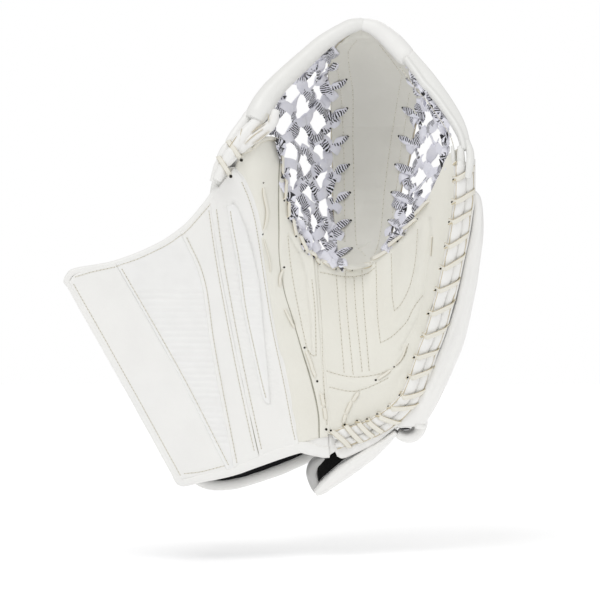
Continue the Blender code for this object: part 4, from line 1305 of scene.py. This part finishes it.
def build_rolls():
    """The padded roll over the pocket, in two halves that meet at the top."""
    line = paced([(-13, 253), (-9, 261), (-1.5, 273.5), (8.5, 285.6), (29, 305), (46, 320), (64.6, 331.7),
                  (74, 335.0), (81.0, 335.6)], 1.1)
    run = travel(line)
    radius = np.interp(run / run[-1], [0, 0.12, 0.3, 0.5, 0.72, 0.9, 1],
                       [10.2, 10.2, 8.6, 8.1, 6.9, 6.2, 5.0])
    end = run[-1] - run
    wrinkle = wander(run, 3.1, 91) * np.exp(-(end / 9)) + 0.8 * wander(run, 4.2, 92) * np.exp(-(run / 12))
    size = radius + 0.15 * wander(run, 22, 93) + 0.40 * wrinkle - 1.3 * bell(end, 1.6) - 1.6 * bell(run, 4)
    path = place(*line.T, roll_depth(np.minimum(line[:, 0], 78.9), line[:, 1]))
    tube, held = padded_tube(path, FRONT, size)
    left = build("top_roll_left_leather", [tube], [ROLL], None, "top_roll_left", held=held, fill=0.9)
    tuple(place(74.0, 333.0, 14.0))
    tuple(place(-20.0, 252.0, -18.0))
    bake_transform(left)
    line = paced([(76.0, 334.6), (82, 334.4), (90, 331.5), (100, 323.8), (110, 313.8), (119.5, 302)], 1.1)
    run = travel(line)
    radius = np.interp(run / run[-1], [0, 0.25, 0.6, 1], [5.0, 7.0, 8.6, 8.4])
    end = run[-1] - run
    wrinkle = wander(run, 3.0, 95) * (np.exp(-(run / 9)) + np.exp(-(end / 6)))
    size = radius + 0.40 * wrinkle - 1.3 * bell(run, 1.6) - 3.5 * bell(end, 5)
    path = place(*line.T, roll_depth(*line.T))
    tube, held = padded_tube(path, FRONT, size)
    build("top_roll_right_leather", [tube], [WHITE], "finger_side", "top_roll_right", held=held,
          slot="leather_ivory", fill=0.9)
    build_welt()
    build_tip()


def build_welt():
    """The flat band beside the pocket, with a bead along its inner edge."""
    inner = [(112.5, 304.5), (121, 293), (128, 283), (136, 274), (142, 266), (151.5, 252), (158, 240),
             (161, 228)]
    outer = [(121, 314), (131.5, 302), (139, 293), (148, 280.5), (156.4, 267.7), (163.2, 255), (167.5, 242),
             (169, 229)]
    depth = lambda x, w: -50 + 58 * ease(205, 338, w) + 0.02 * (x - 140)
    bead = lambda x, w: 2.4 * np.exp(-((distance(x, w, inner) - 2.4) / 2.4) ** 4) + 0.3 * noise(x, w, 13, 97)
    crown = lambda x, w: 0.9 * bell(distance(x, w, outer) - 6, 5)
    panel = Panel(inner, outer, depth=depth, thickness=3.2, roll=2.2, step=1.0, extra=lambda x, w: bead(x, w)
                  + crown(x, w))
    panel.seams = [row_beside(inner, 5.6, 0.04, 0.99, 3.4)]
    panel_piece("finger_welt_leather", panel, ROLL, "finger_side", "finger_welt", fill=0.6)
    stitching("welt_stitching", [panel], "finger_side")
    strands = []
    for points, half in (([(160.5, 231), (160.8, 220), (161.0, 212), (161, 205)], 3.6),
                         ([(166, 236), (168.6, 226), (168.4, 216), (166.4, 205)], 3.4),
                         ([(153.8, 231), (154.6, 221), (156.6, 212), (157, 206)], 1.9)):
        line = paced(points, 0.9)
        low = face_depth(*line.T) - 2.5
        y = low + (depth(*line.T) + 1.0 - low) * ease(206, 231, line[:, 1])
        t = progress(line)
        strands.append(band_at(*line.T, y, half * (0.7 + 0.3 * arch(t)), 3.2, 18, 2.2))
    build("welt_tails", strands, [ROLL], "finger_side")


def build_tip():
    """The roll's gathered end, laced down over the thumb's tip."""
    strands = []
    folds = (([(5, 262), (1, 250), (-11, 240.5), (-24, 231), (-35, 219), (-42, 208)], 5.0, 0.0),
             ([(-4, 266), (-10, 254), (-21, 241.5), (-32, 226.5), (-40, 213), (-44.5, 203)], 5.4, -1.5),
             ([(-14, 264), (-22, 252), (-32, 237), (-39.5, 224), (-45, 211), (-47.5, 202)], 4.6, 1.5))
    for points, half, lift in folds:
        line = paced(points, 0.8)
        run = travel(line)
        t = progress(line)
        y = roll_depth(*line.T) + lift - 1.0
        wraps = bell((line[:, 1] + 0.9 * (line[:, 0] + 30)) - 229, 3.0)
        wraps = wraps + bell((line[:, 1] + 0.9 * (line[:, 0] + 38.5)) - 215.5, 3.0)
        size = half * (0.72 + 0.28 * arch(np.clip(t * 1.15, 0, 1)) ** 0.5)
        size = size * (1 - 0.2 * wraps) + 0.25 * wander(run, 4, 99)
        strands.append(band_at(*line.T, y, size, size * 0.85, 22, 2.2))
    build("thumb_tip_folds", strands, [WHITE], "thumb_side", fill=0.7)
    edges = []
    creases = (([(-1.3, 259), (-1.2, 252)], -7.6), ([(-4.3, 251.6), (-9, 248), (-15.3, 243)], -6.6),
               ([(-23.8, 246.5), (-25.5, 235.5)], -7.0), ([(-6, 246), (-15, 239.5), (-21, 233.5)], -6.2),
               ([(-28, 240), (-34, 231)], -6.6), ([(0, 244), (-8, 237.5), (-14, 233)], -4.9))
    for points, lift in creases:
        line = paced(points, 0.7)
        t = progress(line)
        y = roll_depth(*line.T) + lift + 0.5
        edges.append(band_at(*line.T, y, 0.08 + 0.24 * arch(t), 0.9, 8, 2.0))
    build("thumb_tip_creases", edges, [CUT], "thumb_side")
    wraps = []
    for start, end in (((-35.6, 236.8), (-24.7, 221.3)), ((-43.6, 223.2), (-33.6, 207.6))):
        start, end = np.array(start), np.array(end)
        q = np.linspace(0, 1, 30)
        line = start + (end - start) * q[:, None]
        base = roll_depth(*line.T)
        y = base - 6.6 * arch(np.clip(q * 0.94, 0, 1)) ** 0.45 + 3.5 * ease(0.85, 1, q)
        front = place(*line.T, y)
        q = q[::-1]
        line = start + (end - start) * q[:, None]
        behind = place(*line.T, roll_depth(*line.T) + 6.5 * arch(q) ** 0.45)
        loop = np.concatenate([front, behind[1:-1]])
        centre = loop.mean(axis=0)
        wraps.append(sweep(loop, unit(loop - centre), 1.95, 0.7, edge=1))
        wraps.append((*beads(front[-1:] + [[0.0008, -0.0022, -0.0012]], np.array([[1.0, 0, 0]]),
                             np.array([[0, -1.0, 0]]), 1.35, 1.35, 0.4, sides=12)[:2], 2))
    cuffs = Panel(shifted(SEAM_THUMB, -1.2), shifted(BREAK_GROOVE, -0.45), None, THUMB_TOP)
    for points in ([(-24, 226), (-19, 228), (-14, 230.4)],
                   [(-14.8, 229), (-10.5, 233.8), (-6, 237), (0.5, 238.4), (5.5, 236.4)],
                   [(2, 239.2), (6.8, 236), (8.4, 229), (6.6, 225.6)]):
        wraps.append(lace_on(cuffs, points, 3.2, lift=1.6))
    lip = Panel([(-50, 184), (-50.5, 192), (-48.5, 202), (-43.5, 213)],
                [(-36, 184), (-34, 196), (-30, 206), (-26, 214)], None, None, depth=lambda x, w: -19 - 0.15
                * (w - 184) + 0.0 * x, thickness=3.0, step=1.4, roll=2.4, puff=0.8, puff_width=4)
    build("thumb_rear_lip", [lip.bits(0)], [ROLL], "thumb_side")
    build("thumb_tip_lacing", wraps, [LACE, CUT, HOLE], "thumb_side", "thumb_tip_lace")


# ---- padded skins ----

class Skin:
    """A padded sheet over a free surface, given as rows of (x, w, y) layout points. u runs along a row, v
    across the rows, and relief(u, v) is how far it stands out. turn is 1 where u cross v already looks
    outward, or -1."""

    def __init__(self, rows, step=2.0, turn=1, thickness=4.0, roll=2.0, relief=None):
        rows = [smooth(row) for row in rows]
        wide = max(travel(row)[-1] for row in rows)
        us = fractions(wide, step)
        across = np.array([at(row, us) for row in rows])
        tall = max(travel(across[:, k])[-1] for k in range(0, len(us), 4))
        vs = fractions(tall, step)
        xwy = np.stack([at(smooth(across[:, k]), vs) for k in range(len(us))], axis=1)
        base = place(xwy[..., 0], xwy[..., 1], xwy[..., 2])
        self.out = turn * unit(np.cross(np.gradient(base, axis=1), np.gradient(base, axis=0)))
        u = np.broadcast_to(us[None, :], base.shape[:2])
        v = np.broadcast_to(vs[:, None], base.shape[:2])
        near = np.minimum(np.minimum(u, 1 - u) * wide, np.minimum(v, 1 - v) * tall)
        lift = -edge_drop(near, roll, thickness)
        if relief:
            lift = lift + relief(u, v)
        self.us, self.vs, self.turn, self.thickness = us, vs, turn, thickness
        self.near, self.u, self.v = near, u, v
        self.face = base + self.out * lift[..., None] * MM
        self.inner = base - self.out * thickness * MM

    def bits(self, edge=0):
        if self.turn > 0:
            return shell(self.face, self.inner, edge)
        return shell(self.inner, self.face, edge)

    def held(self, lines):
        """How firmly each point is held under air pressure: the whole inner side, the edges and where
        lines(u, v) is 1."""
        face = np.maximum(bell(self.near, 3.0), lines(self.u, self.v)).ravel()
        inner = np.ones(face.shape)
        return np.concatenate([face, inner] if self.turn > 0 else [inner, face])

    def sample(self, line):
        """Places on the face, and the way it looks there, at the (u, v) fractions of a line."""
        a = np.interp(line[:, 0], self.us, np.arange(len(self.us)))
        b = np.interp(line[:, 1], self.vs, np.arange(len(self.vs)))
        i = np.minimum(a.astype(int), len(self.us) - 2)
        j = np.minimum(b.astype(int), len(self.vs) - 2)
        fa = (a - i)[:, None]
        fb = (b - j)[:, None]
        mixed = []
        for grid in (self.face, self.out):
            low = grid[j, i] * (1 - fa) + grid[j, i + 1] * fa
            high = grid[j + 1, i] * (1 - fa) + grid[j + 1, i + 1] * fa
            mixed.append(low * (1 - fb) + high * fb)
        return mixed[0], unit(mixed[1])

    def seam(self, points, pitch=3.4):
        """Stitches along (u, v) points."""
        fine, looks = self.sample(at(smooth(points), np.linspace(0, 1, 300)))
        run = travel(fine) / MM
        marks = np.linspace(0, 1, max(2, round(run[-1] / pitch) + 1)) * run[-1]
        ends = sampled(marks, run, fine)
        look = unit(sampled(marks, run, looks))
        along = unit(ends[1:] - ends[:-1])
        centres = (ends[1:] + ends[:-1]) / 2 + look[1:] * 0.12 * MM
        threads = beads(centres, along, look[1:], pitch * 0.33, STITCH_RADIUS)
        return [threads, beads(ends, np.concatenate([along, along[-1:]]), look, 0.55, 0.42, 0.45, which=1)]


def sleeve(name, path, up, radii, wall, node):
    """A soft tube, open at its first end and closed at its last."""
    count = len(path)
    along = unit(np.gradient(path, axis=0))
    side = unit(np.cross(np.broadcast_to(up, path.shape), along))
    up = np.cross(along, side)
    angle = np.linspace(0, 2 * math.pi, 28, endpoint=False)[None, :, None]
    around = side[:, None] * np.cos(angle) + up[:, None] * np.sin(angle)
    outer = path[:, None] + around * radii[:, None, None] * MM
    inner = path[:, None] + around * np.maximum(radii - wall, 0.2)[:, None, None] * MM
    inner = inner - along[:, None] * wall * MM * 0.4
    rings = np.concatenate([outer, inner[::-1], outer[:1]])
    return build(name, [(rings, [quads(2 * count + 1, 28, closed=True)], 0)], [BLACK], None, node)


def tip_sizes(t, radius):
    """A tube's radius along it, closing round at the far end."""
    far = np.clip((t - 0.84) / 0.16, 0, 1)
    return radius * (1.04 - 0.08 * t) * np.sqrt(np.maximum(1 - far**2.2, 0.0004))


def build_stalls():
    """The finger stalls, the thumb stall and the strap across the fingers."""
    names = ("index_stall", "middle_stall", "ring_stall", "little_stall")
    for number, (name, top) in enumerate(zip(names, (142, 158, 156, 140), strict=True)):
        w = np.linspace(58, top, 50)
        left = np.interp(w, [58, 120, 158], [58, 84, 103])
        right = np.interp(w, [58, 120, 158], [114, 137, 146])
        x = left + (right - left) * number / 3
        path = on_surface(x, w, 23.0)
        radii = tip_sizes(np.linspace(0, 1, 50), 8.4 * (1 - 0.02 * number))
        radii = radii + 0.16 * wander(w, 5, 101 + number)
        stall = sleeve(name + "_knit", path, (1, -0.5, 0), np.maximum(radii, 0.2), 1.0, name)
        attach(stall, "finger_side")
    line = at(smooth([(16, 70), (6, 120), (-4, 165), (-12, 212)]), np.linspace(0, 1, 60))
    radii = tip_sizes(np.linspace(0, 1, 60), 11.0) + 0.16 * noise(line[:, 1], line[:, 0] * 0, 5, 107)
    stall = sleeve("thumb_stall_knit", on_surface(*line.T, 27.0), (1, 0, 0), np.maximum(radii, 0.2), 1.5,
                   "thumb_stall")
    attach(stall, "thumb_side")
    rows = [[(x, w + 0.25 * (x - 44), 70 - 0.004 * (x - 78) ** 2) for x in np.linspace(46, 108, 8)]
            for w in (31, 40, 49)]
    strap = Skin(rows, 1.6, turn=-1, thickness=2.4, roll=1.2, relief=lambda u, v: 0.35 * arch(v))
    build("finger_strap_webbing", [strap.bits()], [WHITE], "finger_side", "finger_strap")
    seams = strap.seam([(0.03, 0.14), (0.97, 0.14)]) + strap.seam([(0.03, 0.86), (0.97, 0.86)])
    build("finger_strap_stitching", seams, [THREAD, PRICK], "finger_side")


def build_layers():
    """The board, padding and linings behind the leather."""
    whole = dict(bottom=[(-72, -47), (-36, -39), (21, -19)],
                 top=[(-165, 118), (-134, 126), (-87, 144), (-55, 173), (-33, 208)])
    left, right = shifted(CUFF_LEFT, 3), shifted(SEAM_THUMB, -4)
    board = Panel(left, right, off=LEATHER + 1.9, thickness=4.0, step=5, roll=1.0, **whole)
    panel_piece("cuff_board_felt", board, BOARD, "thumb_side", "cuff_board")
    quilt = lambda x, w: 0.9 * np.abs(np.sin(math.pi * (0.95 * x + 0.31 * w) / 34)) ** 0.7
    lining = Panel(left, right, off=11.0, thickness=1.6, step=2.2, roll=1.0, way=1, extra=quilt, **whole)
    lining_piece("cuff_lining_knit", lining, "thumb_side", "cuff_lining")
    pad = Panel(shifted(SEAM_THUMB, 4), shifted(BREAK_GROOVE, -3), None, shifted(THUMB_TOP, 0, -4),
                off=LEATHER + 1.9, thickness=6.0, step=4, roll=2.0)
    panel_piece("thumb_pad_felt", pad, FELT, "thumb_side", "thumb_pad", fill=0.9)
    spine = [(spine_x(w) + 3, w) for w in (2, 60, 130)]
    outer = [(x - 15, w - 3) for x, w in zip(*np.array(PALM_EDGE).T, strict=True)][:-1]
    low, high = [(53, 2), (72, 6), (90, 8)], [(41, 130), (57, 121), (71, 120), (88, 126), (110, 146),
                                              (131, 172), (142, 202)]
    felt_pad = Panel(spine, outer, low, high, off=LEATHER + 1.9, thickness=6.0, step=4, roll=2.0)
    panel_piece("palm_padding_felt", felt_pad, FELT, "finger_side", "palm_felt", fill=0.9)
    inside = Panel(spine, outer, low, high, off=13.0, thickness=1.6, step=2.2, roll=1.0, way=1, extra=quilt)
    lining_piece("palm_lining_knit", inside, "finger_side", "palm_lining")


# ---- back of the hand ----

GUARD_LEVELS = [-6, 4, 14, 26, 44, 62, 80, 98, 116, 134, 153, 170, 183, 191, 197]


def guard_profile(w):
    gap = -0.7 + np.interp(w, [-14, 0, 18, 34, 48, 62, 90.7, 119, 147.3, 175, 187, 197],
                    [98, 110.5, 126.5, 133.8, 139.4, 145.2, 155.1, 162.3, 167.6, 171.5, 171.8, 167])
    rim = edge_at(RIM_PATH, w)
    out = np.interp(w, [-12.8, 0, 12.8, 25.5, 38.3, 51, 63.8, 76.5, 89, 102, 114.8, 127.5, 140, 153, 178.5,
                        189, 194, 198], [125.0, 133.6, 141.4, 147.5, 153, 159, 164.1, 167.5, 170, 172.6,
                                         175.1, 176, 177.7, 179.4, 180, 178, 174.4, 168.5])
    levels = [-12, 8, 30, 55, 80, 105, 130, 155, 178, 196]
    x = np.interp(w, levels, [113, 134, 144, 156, 165, 170, 174, 176.5, 176.5, 174])
    span = np.interp(w, levels, [40, 52, 58, 60, 62, 60, 54, 46, 38, 33])
    y = float(face_depth(np.array(rim), w)) + 2.0 - 4.0 * float(1 - ease(20, 56, w))
    reach = 80 - float(face_depth(np.array(x - 8), w)) - 9
    deep = 80 - reach
    return [(gap - 3.0, w, y + 8), (gap + 0.2, w, y + 3.5), (gap + 1.0, w, y + 0.3),
            (0.6 * gap + 0.4 * out, w, y - 2.0), (0.2 * gap + 0.8 * out, w, y - 1.2), (out, w, y + 4),
            (out, w, deep + 0.30 * reach), (out - 3.5, w, deep + 0.60 * reach),
            (x + 1 - 0.22 * span, w, deep + 0.90 * reach), (x - 0.58 * span, w, deep + 1.04 * reach),
            (x - span, w, deep + 1.07 * reach)]


def build_backhand():
    """The padded guard behind the hand."""
    def channels(u, v):
        near = np.abs(((v * 9.0) % 1.0) - 0.5) * 24
        across = -1.5 * bell(near, 2.0) * ease(0.42, 0.50, u) * (1 - ease(0.93, 0.97, u))
        along = -1.0 * bell(u - 0.40, 0.012) - 1.0 * bell(u - 0.935, 0.012)
        hem = -1.0 * bell(u - 0.125, 0.009) * ease(0.1, 0.2, v) * (1 - ease(0.88, 0.94, v))
        wave = bell(u - 0.088 - 0.012 * np.sin(5 * v), 0.008)
        hem = hem - 0.9 * wave * ease(0.22, 0.4, v) * (1 - ease(0.8, 0.9, v))
        return across + along + hem + 0.5 * noise(u * 120, v * 230, 24, 111)

    guard = Skin([guard_profile(w) for w in GUARD_LEVELS], 1.9, thickness=3.5, roll=1.8, relief=channels)
    sewn = lambda u, v: np.clip(-channels(u, v) * 1.2 - 0.3, 0, 1)
    build("backhand_guard_leather", [guard.bits()], [WHITE], "finger_side", "backhand_guard",
          held=guard.held(sewn), fill=0.7)
    seams = []
    for u in (0.385, 0.415, 0.92, 0.95):
        seams += guard.seam([(u, 0.02), (u, 0.98)], 3.6)
    build("backhand_stitching", seams, [THREAD, PRICK], "finger_side")
    bottom, _ = guard.sample(np.stack([np.linspace(0.20, 0.98, 60), np.full(60, 0.004)], axis=1))
    top, _ = guard.sample(np.stack([np.linspace(0.24, 0.98, 60), np.full(60, 0.996)], axis=1))
    piping = [sweep(line, (0.3, -0.2, turn), 2.3, 2.3, 14, 2.0) for line, turn in ((bottom, -1), (top, 1))]
    build("backhand_piping", piping, [WHITE], "finger_side")
    left, right = [(-10, 12), (-14, 60), (-2, 108)], [(88, 14), (94, 60), (88, 104)]
    low, high = [(-10, 12), (18, 0), (60, 0), (88, 14)], [(-2, 108), (30, 122), (68, 118), (88, 104)]
    rays = lambda x, w: -1.2 * bell(np.minimum(np.abs(x - 17), np.minimum(np.abs(x - 40), np.abs(x - 63))),
                                    1.6)
    plate = Panel(left, right, low, high, depth=flat_depth(98.5), thickness=6.5, step=1.8, roll=4.0, way=1,
                  puff=1.6, puff_width=12, extra=lambda x, w: rays(x, w) * ease(8, 20, w)
                  * (1 - ease(94, 106, w)) + 0.4 * noise(x, w, 30, 113))
    inset = [(-3, 18), (-6.5, 60), (4.5, 103), (31, 114.5), (66, 111), (81, 100), (86.5, 60), (81.5, 19),
             (58, 7), (20, 7), (-3, 18)]
    plate.seams = [(inset, 3.6)] + [([(x + side, 13), (x + side, 100)], 3.6) for x in (17, 40, 63)
                                    for side in (-2.2, 2.2)]
    panel_piece("backhand_plate_leather", plate, WHITE, "finger_side", "backhand_plate", fill=0.8)
    stitching("backhand_plate_stitching", [plate], "finger_side")
    left, right = [(6, 8), (4, 60), (6, 100)], [(70, 8), (80, 60), (80, 100)]
    foam = Panel(left, right, depth=flat_depth(84), thickness=5.0, step=4, roll=2.0)
    panel_piece("backhand_foam_pad", foam, FELT, "finger_side", "backhand_foam", fill=0.9)
    lining = Panel(left, right, depth=flat_depth(80), thickness=1.6, step=2.2, roll=1.0,
                   extra=lambda x, w: 1.0 * np.abs(np.sin(math.pi * x / 16)) ** 0.7)
    lining_piece("backhand_lining_knit", lining, "finger_side", "backhand_lining")


def build_wrist():
    """The wrist guard, its hem and its lining."""
    left, right = [(-66, -51), (-90, 0), (-84, 56)], [(34, -35), (15, -10), (-4, 22)]
    low = [(-66, -51), (-54, -59), (-36, -59), (-21, -56), (6, -47), (34, -35)]
    high = [(-84, 56), (-60, 60), (-30, 46), (-4, 22)]

    def pads(x, w):
        across = 0.49 * x - 0.87 * w
        near = np.abs((across / 21.0) % 1.0 - 0.5) * 21
        return 1.5 - 1.7 * bell(near, 2.2) + 0.4 * noise(x, w, 26, 121)

    guard = Panel(left, right, low, high, depth=wrist_depth, off=3.4, thickness=4.0, step=1.8, roll=2.6,
                  way=1, extra=pads)
    guard.seams = [row_beside(low, -5, 0.04, 0.94, 3.4), row_beside(high, 5, 0.03, 0.96, 3.4)]
    panel_piece("wrist_guard_leather", guard, WHITE, "finger_side", "wrist_guard", fill=0.7)
    stitching("wrist_guard_stitching", [guard], "finger_side")
    lining = Panel(shifted(left, 2), shifted(right, -2), shifted(low, 0, 2), shifted(high, 0, -2),
                   depth=wrist_depth, off=-2.6, thickness=1.4, step=2.2, roll=1.0, extra=lambda x, w: 0.8
                   * np.abs(np.sin(math.pi * (x + w) / 20)) ** 0.7)
    lining_piece("wrist_guard_lining_knit", lining, "finger_side", "wrist_guard_lining")
    line = paced([(-66, -51), (-60, -56.5), (-50, -59.5), (-36, -59.3), (-21, -56.4), (6, -47.5), (24, -40),
                  (37, -34), (45, -31)], 1.2)
    d = directions(line)
    hem = on_surface(line[:, 0] - d[:, 1] * 3.2, line[:, 1] + d[:, 0] * 3.2, -0.6, wrist_depth)
    size = 4.6 + 0.2 * noise(*line.T, 11, 123)
    build("wrist_guard_hem", [sweep(hem, FRONT, size, 4.4, 20, 2.2)], [WHITE], "finger_side", fill=0.8)


def build_thumb_guard():
    """The padded guard behind the thumb."""
    rows = []
    for x, w in at(smooth([(16, 62), (5, 115), (-6, 165), (-15, 224)]), np.linspace(0, 1, 9)):
        grow = 1 - 0.25 * float(ease(195, 225, w))
        row = []
        for angle in np.radians(np.linspace(5, 175, 9)):
            cx = x + 22 * grow * math.cos(angle)
            point = on_surface(np.array(cx), np.array(w), 27 + 21 * grow * math.sin(angle)) / MM
            back = point[1]
            row.append((point[0], point[2] * math.cos(FACE_LEAN) + back * math.sin(FACE_LEAN),
                        back + WRIST_DEPTH))
        rows.append(row)
    ridges = lambda u, v: (-1.3 * bell(np.abs(((v * 7) % 1.0) - 0.5) * 23, 2.0) * ease(0.1, 0.16, u)
                           * (1 - ease(0.84, 0.9, u)) + 0.4 * noise(u * 66, v * 170, 20, 131))
    guard = Skin(rows, 1.8, turn=-1, thickness=3.0, roll=1.6, relief=ridges)
    sewn = lambda u, v: np.clip(-ridges(u, v) * 1.2 - 0.3, 0, 1)
    build("thumb_rear_leather", [guard.bits()], [WHITE], "thumb_side", "thumb_rear_guard",
          held=guard.held(sewn), fill=0.7)
    seams = guard.seam([(0.08, 0.02), (0.08, 0.98)], 3.6) + guard.seam([(0.92, 0.02), (0.92, 0.98)], 3.6)
    build("thumb_rear_stitching", seams, [THREAD, PRICK], "thumb_side")


def build_strap():
    """The padded wrist strap: a flap under the rim, the padded band and its turned-up end, with a hook
    patch inside."""
    line = paced([(107, -9), (96, -19), (84, -28), (72, -36.5), (60, -44.8), (50, -52.5), (43, -58.2),
                  (38.5, -60.5)], 1.2)
    half = np.interp(line[:, 0], [38.5, 43, 50, 60, 72, 84, 96, 107],
                     [3.4, 5.2, 6.2, 7.0, 7.2, 6.4, 4.8, 2.6])
    run = travel(line)
    soft = 0.25 * wander(run, 9, 141) + 0.2 * wander(run, 3.5, 142) * bell(line[:, 0] - 48, 9)
    band = band_at(*line.T, 31.0, half + soft, 17.5, 44, 2.9)
    turned = paced([(41.5, -60), (39, -56), (37, -50), (36, -44), (38.5, -37.5), (46, -31.5)], 1.0)
    t = progress(turned)
    tail = band_at(*turned.T, 33.0 + 3 * t, 3.9 + 1.4 * arch(t), 14.0, 30, 2.9)
    # The turned-up end takes the grey painted-shade leather.
    tail = (*tail[:2], 1)
    build("wrist_strap_leather", [band, tail], [WHITE, SHADE], "wrist_strap", "wrist_strap", fill=0.75)
    low = [(57, -31), (63, -32.5), (79, -25.5), (92, -18.5), (105, -8)]
    high = [(52, -19), (62, -21.5), (76, -17), (87, -12.5), (104, -5)]
    flap = Panel([low[0], high[0]], [low[-1], high[-1]], low, high, depth=flat_depth(17.0), thickness=3.0,
                 step=1.2, roll=1.4, puff=0.8, puff_width=3)
    build("wrist_strap_flap", [flap.bits(0)], [WHITE], "wrist_strap")
    low = [(41, -52), (62.9, -33.5), (86, -19.5), (100, -10)]
    high = [(40, -38), (48, -30.5), (60, -21), (80, -12), (99, -5)]
    hook = Panel([low[0], high[0]], [low[-1], high[-1]], low, high, depth=flat_depth(22.0), thickness=2.4,
                 step=1.2, roll=0.6)
    panel_piece("wrist_strap_hook", hook, HOOK, "wrist_strap", "wrist_strap_lining")
    heel = Panel([(50.9, -30.6), (50.9, -4)], [(63.2, -31.2), (86, -3)],
                 [(50.6, -30.6), (57, -26.5), (60, -28), (63.2, -31.2)], off=2.4, thickness=2.6, step=1.2,
                 roll=1.2)
    build("palm_heel_leather", [heel.bits(0)], [WHITE], "finger_side")
    flap = Panel([(16, -25), (20, -14)], [(50.7, -29.6), (50.7, -5)],
                 [(16, -25), (28, -28), (38, -30.6), (45, -31), (50.7, -29.6)],
                 [(20, -14), (36, -8), (50.7, -5)], off=2.2, thickness=2.6, step=1.2, roll=1.4, puff=0.6,
                 puff_width=3)
    build("cuff_heel_leather", [flap.bits(0)], [WHITE], "thumb_side")
    line = paced([(108.5, -10), (113, -13.4), (119, -14), (124.5, -11), (128.5, -4), (130, 4)], 1.0)
    size = 5.6 * arch(np.linspace(0.14, 0.8, len(line))) ** 0.5
    lip = band_at(*line.T, 31.0, size, 12.0, 26)
    build("backhand_fold", [lip], [WHITE], "finger_side", fill=0.8)
    slot = band_at(np.linspace(110.5, 119.5, 8), -7.4, 18.4, 0.9 * arch(np.linspace(0.1, 0.9, 8)), 1.5)
    build("backhand_fold_lining", [slot], [BLACK], "finger_side")


# ---- stage ----

def area_light(name, place_at, target, size, power):
    """A round soft light that looks at a point."""
    light = bpy.data.lights.new(name, "AREA")
    light.shape = "DISK"
    light.size = size
    light.energy = power
    obj = bpy.data.objects.new(name, light)
    link(obj)
    obj.location = place_at
    aim = np.array(target) - np.array(place_at)
    turn = math.atan2(aim[0], -aim[1]) + math.pi
    obj.rotation_euler = [math.atan2(math.hypot(aim[0], aim[1]), -aim[2]), 0, turn]


def build_floor():
    half = FLOOR_HALF
    corners = [(-half, -half, FLOOR_Z), (half, -half, FLOOR_Z), (half, half, FLOOR_Z), (-half, half, FLOOR_Z)]
    mesh = bpy.data.meshes.new("floor")
    mesh.from_pydata(corners, [], [(0, 1, 2, 3)])
    mesh.materials.append(floor_paint())
    floor = bpy.data.objects.new("floor", mesh)
    link(floor)


def build_world():
    """Soft even light all round, and pure white where the camera sees past the floor."""
    world = bpy.data.worlds.new("studio")
    bpy.context.scene.world = world
    world.use_nodes = True
    nodes, links = world.node_tree.nodes, world.node_tree.links
    background = nodes["Background"]
    background.inputs["Color"].default_value = (1, 1, 1, 1)
    background.inputs["Strength"].default_value = WORLD_STRENGTH
    seen = nodes.new("ShaderNodeLightPath")
    white = nodes.new("ShaderNodeBackground")
    mix = nodes.new("ShaderNodeMixShader")
    links.new(seen.outputs["Is Camera Ray"], mix.inputs[0])
    links.new(background.outputs[0], mix.inputs[1])
    links.new(white.outputs[0], mix.inputs[2])
    links.new(mix.outputs[0], nodes["World Output"].inputs["Surface"])
    white.inputs["Color"].default_value = (1, 1, 1, 1)


def build_lights():
    middle = (0.02, 0.0, 0.12)
    area_light("key", (-0.55, -1.25, 2.2), middle, 1.3, 19)
    area_light("fill", (1.7, -1.2, 0.7), middle, 1.2, 2)
    area_light("back", (0.3, 1.8, 1.2), middle, 1.0, 4)


def build_camera():
    """A long lens that looks square at the open face, as in the photograph."""
    bpy.context.scene.view_settings.view_transform = "Standard"
    camera = bpy.data.cameras.new("camera")
    obj = bpy.data.objects.new("camera", camera)
    link(obj)
    camera.sensor_width = SENSOR
    camera.lens = SENSOR * CAMERA_FAR / PICTURE_WIDE
    target = np.array([0.0255, 0.0, 0.102 / math.cos(FACE_LEAN)])
    obj.location = target + CAMERA_FAR * np.array([0, -math.cos(FACE_LEAN), math.sin(FACE_LEAN)])
    obj.rotation_euler = (math.pi / 2 - FACE_LEAN, 0, 0)
    bpy.context.scene.camera = obj


build_floor()
build_world()
build_lights()
build_camera()
build_cuff()
build_thumb()
build_palm()
build_rim()
build_t_web()
build_nets()
build_rolls()
build_stalls()
build_layers()
build_backhand()
build_wrist()
build_thumb_guard()
build_strap()
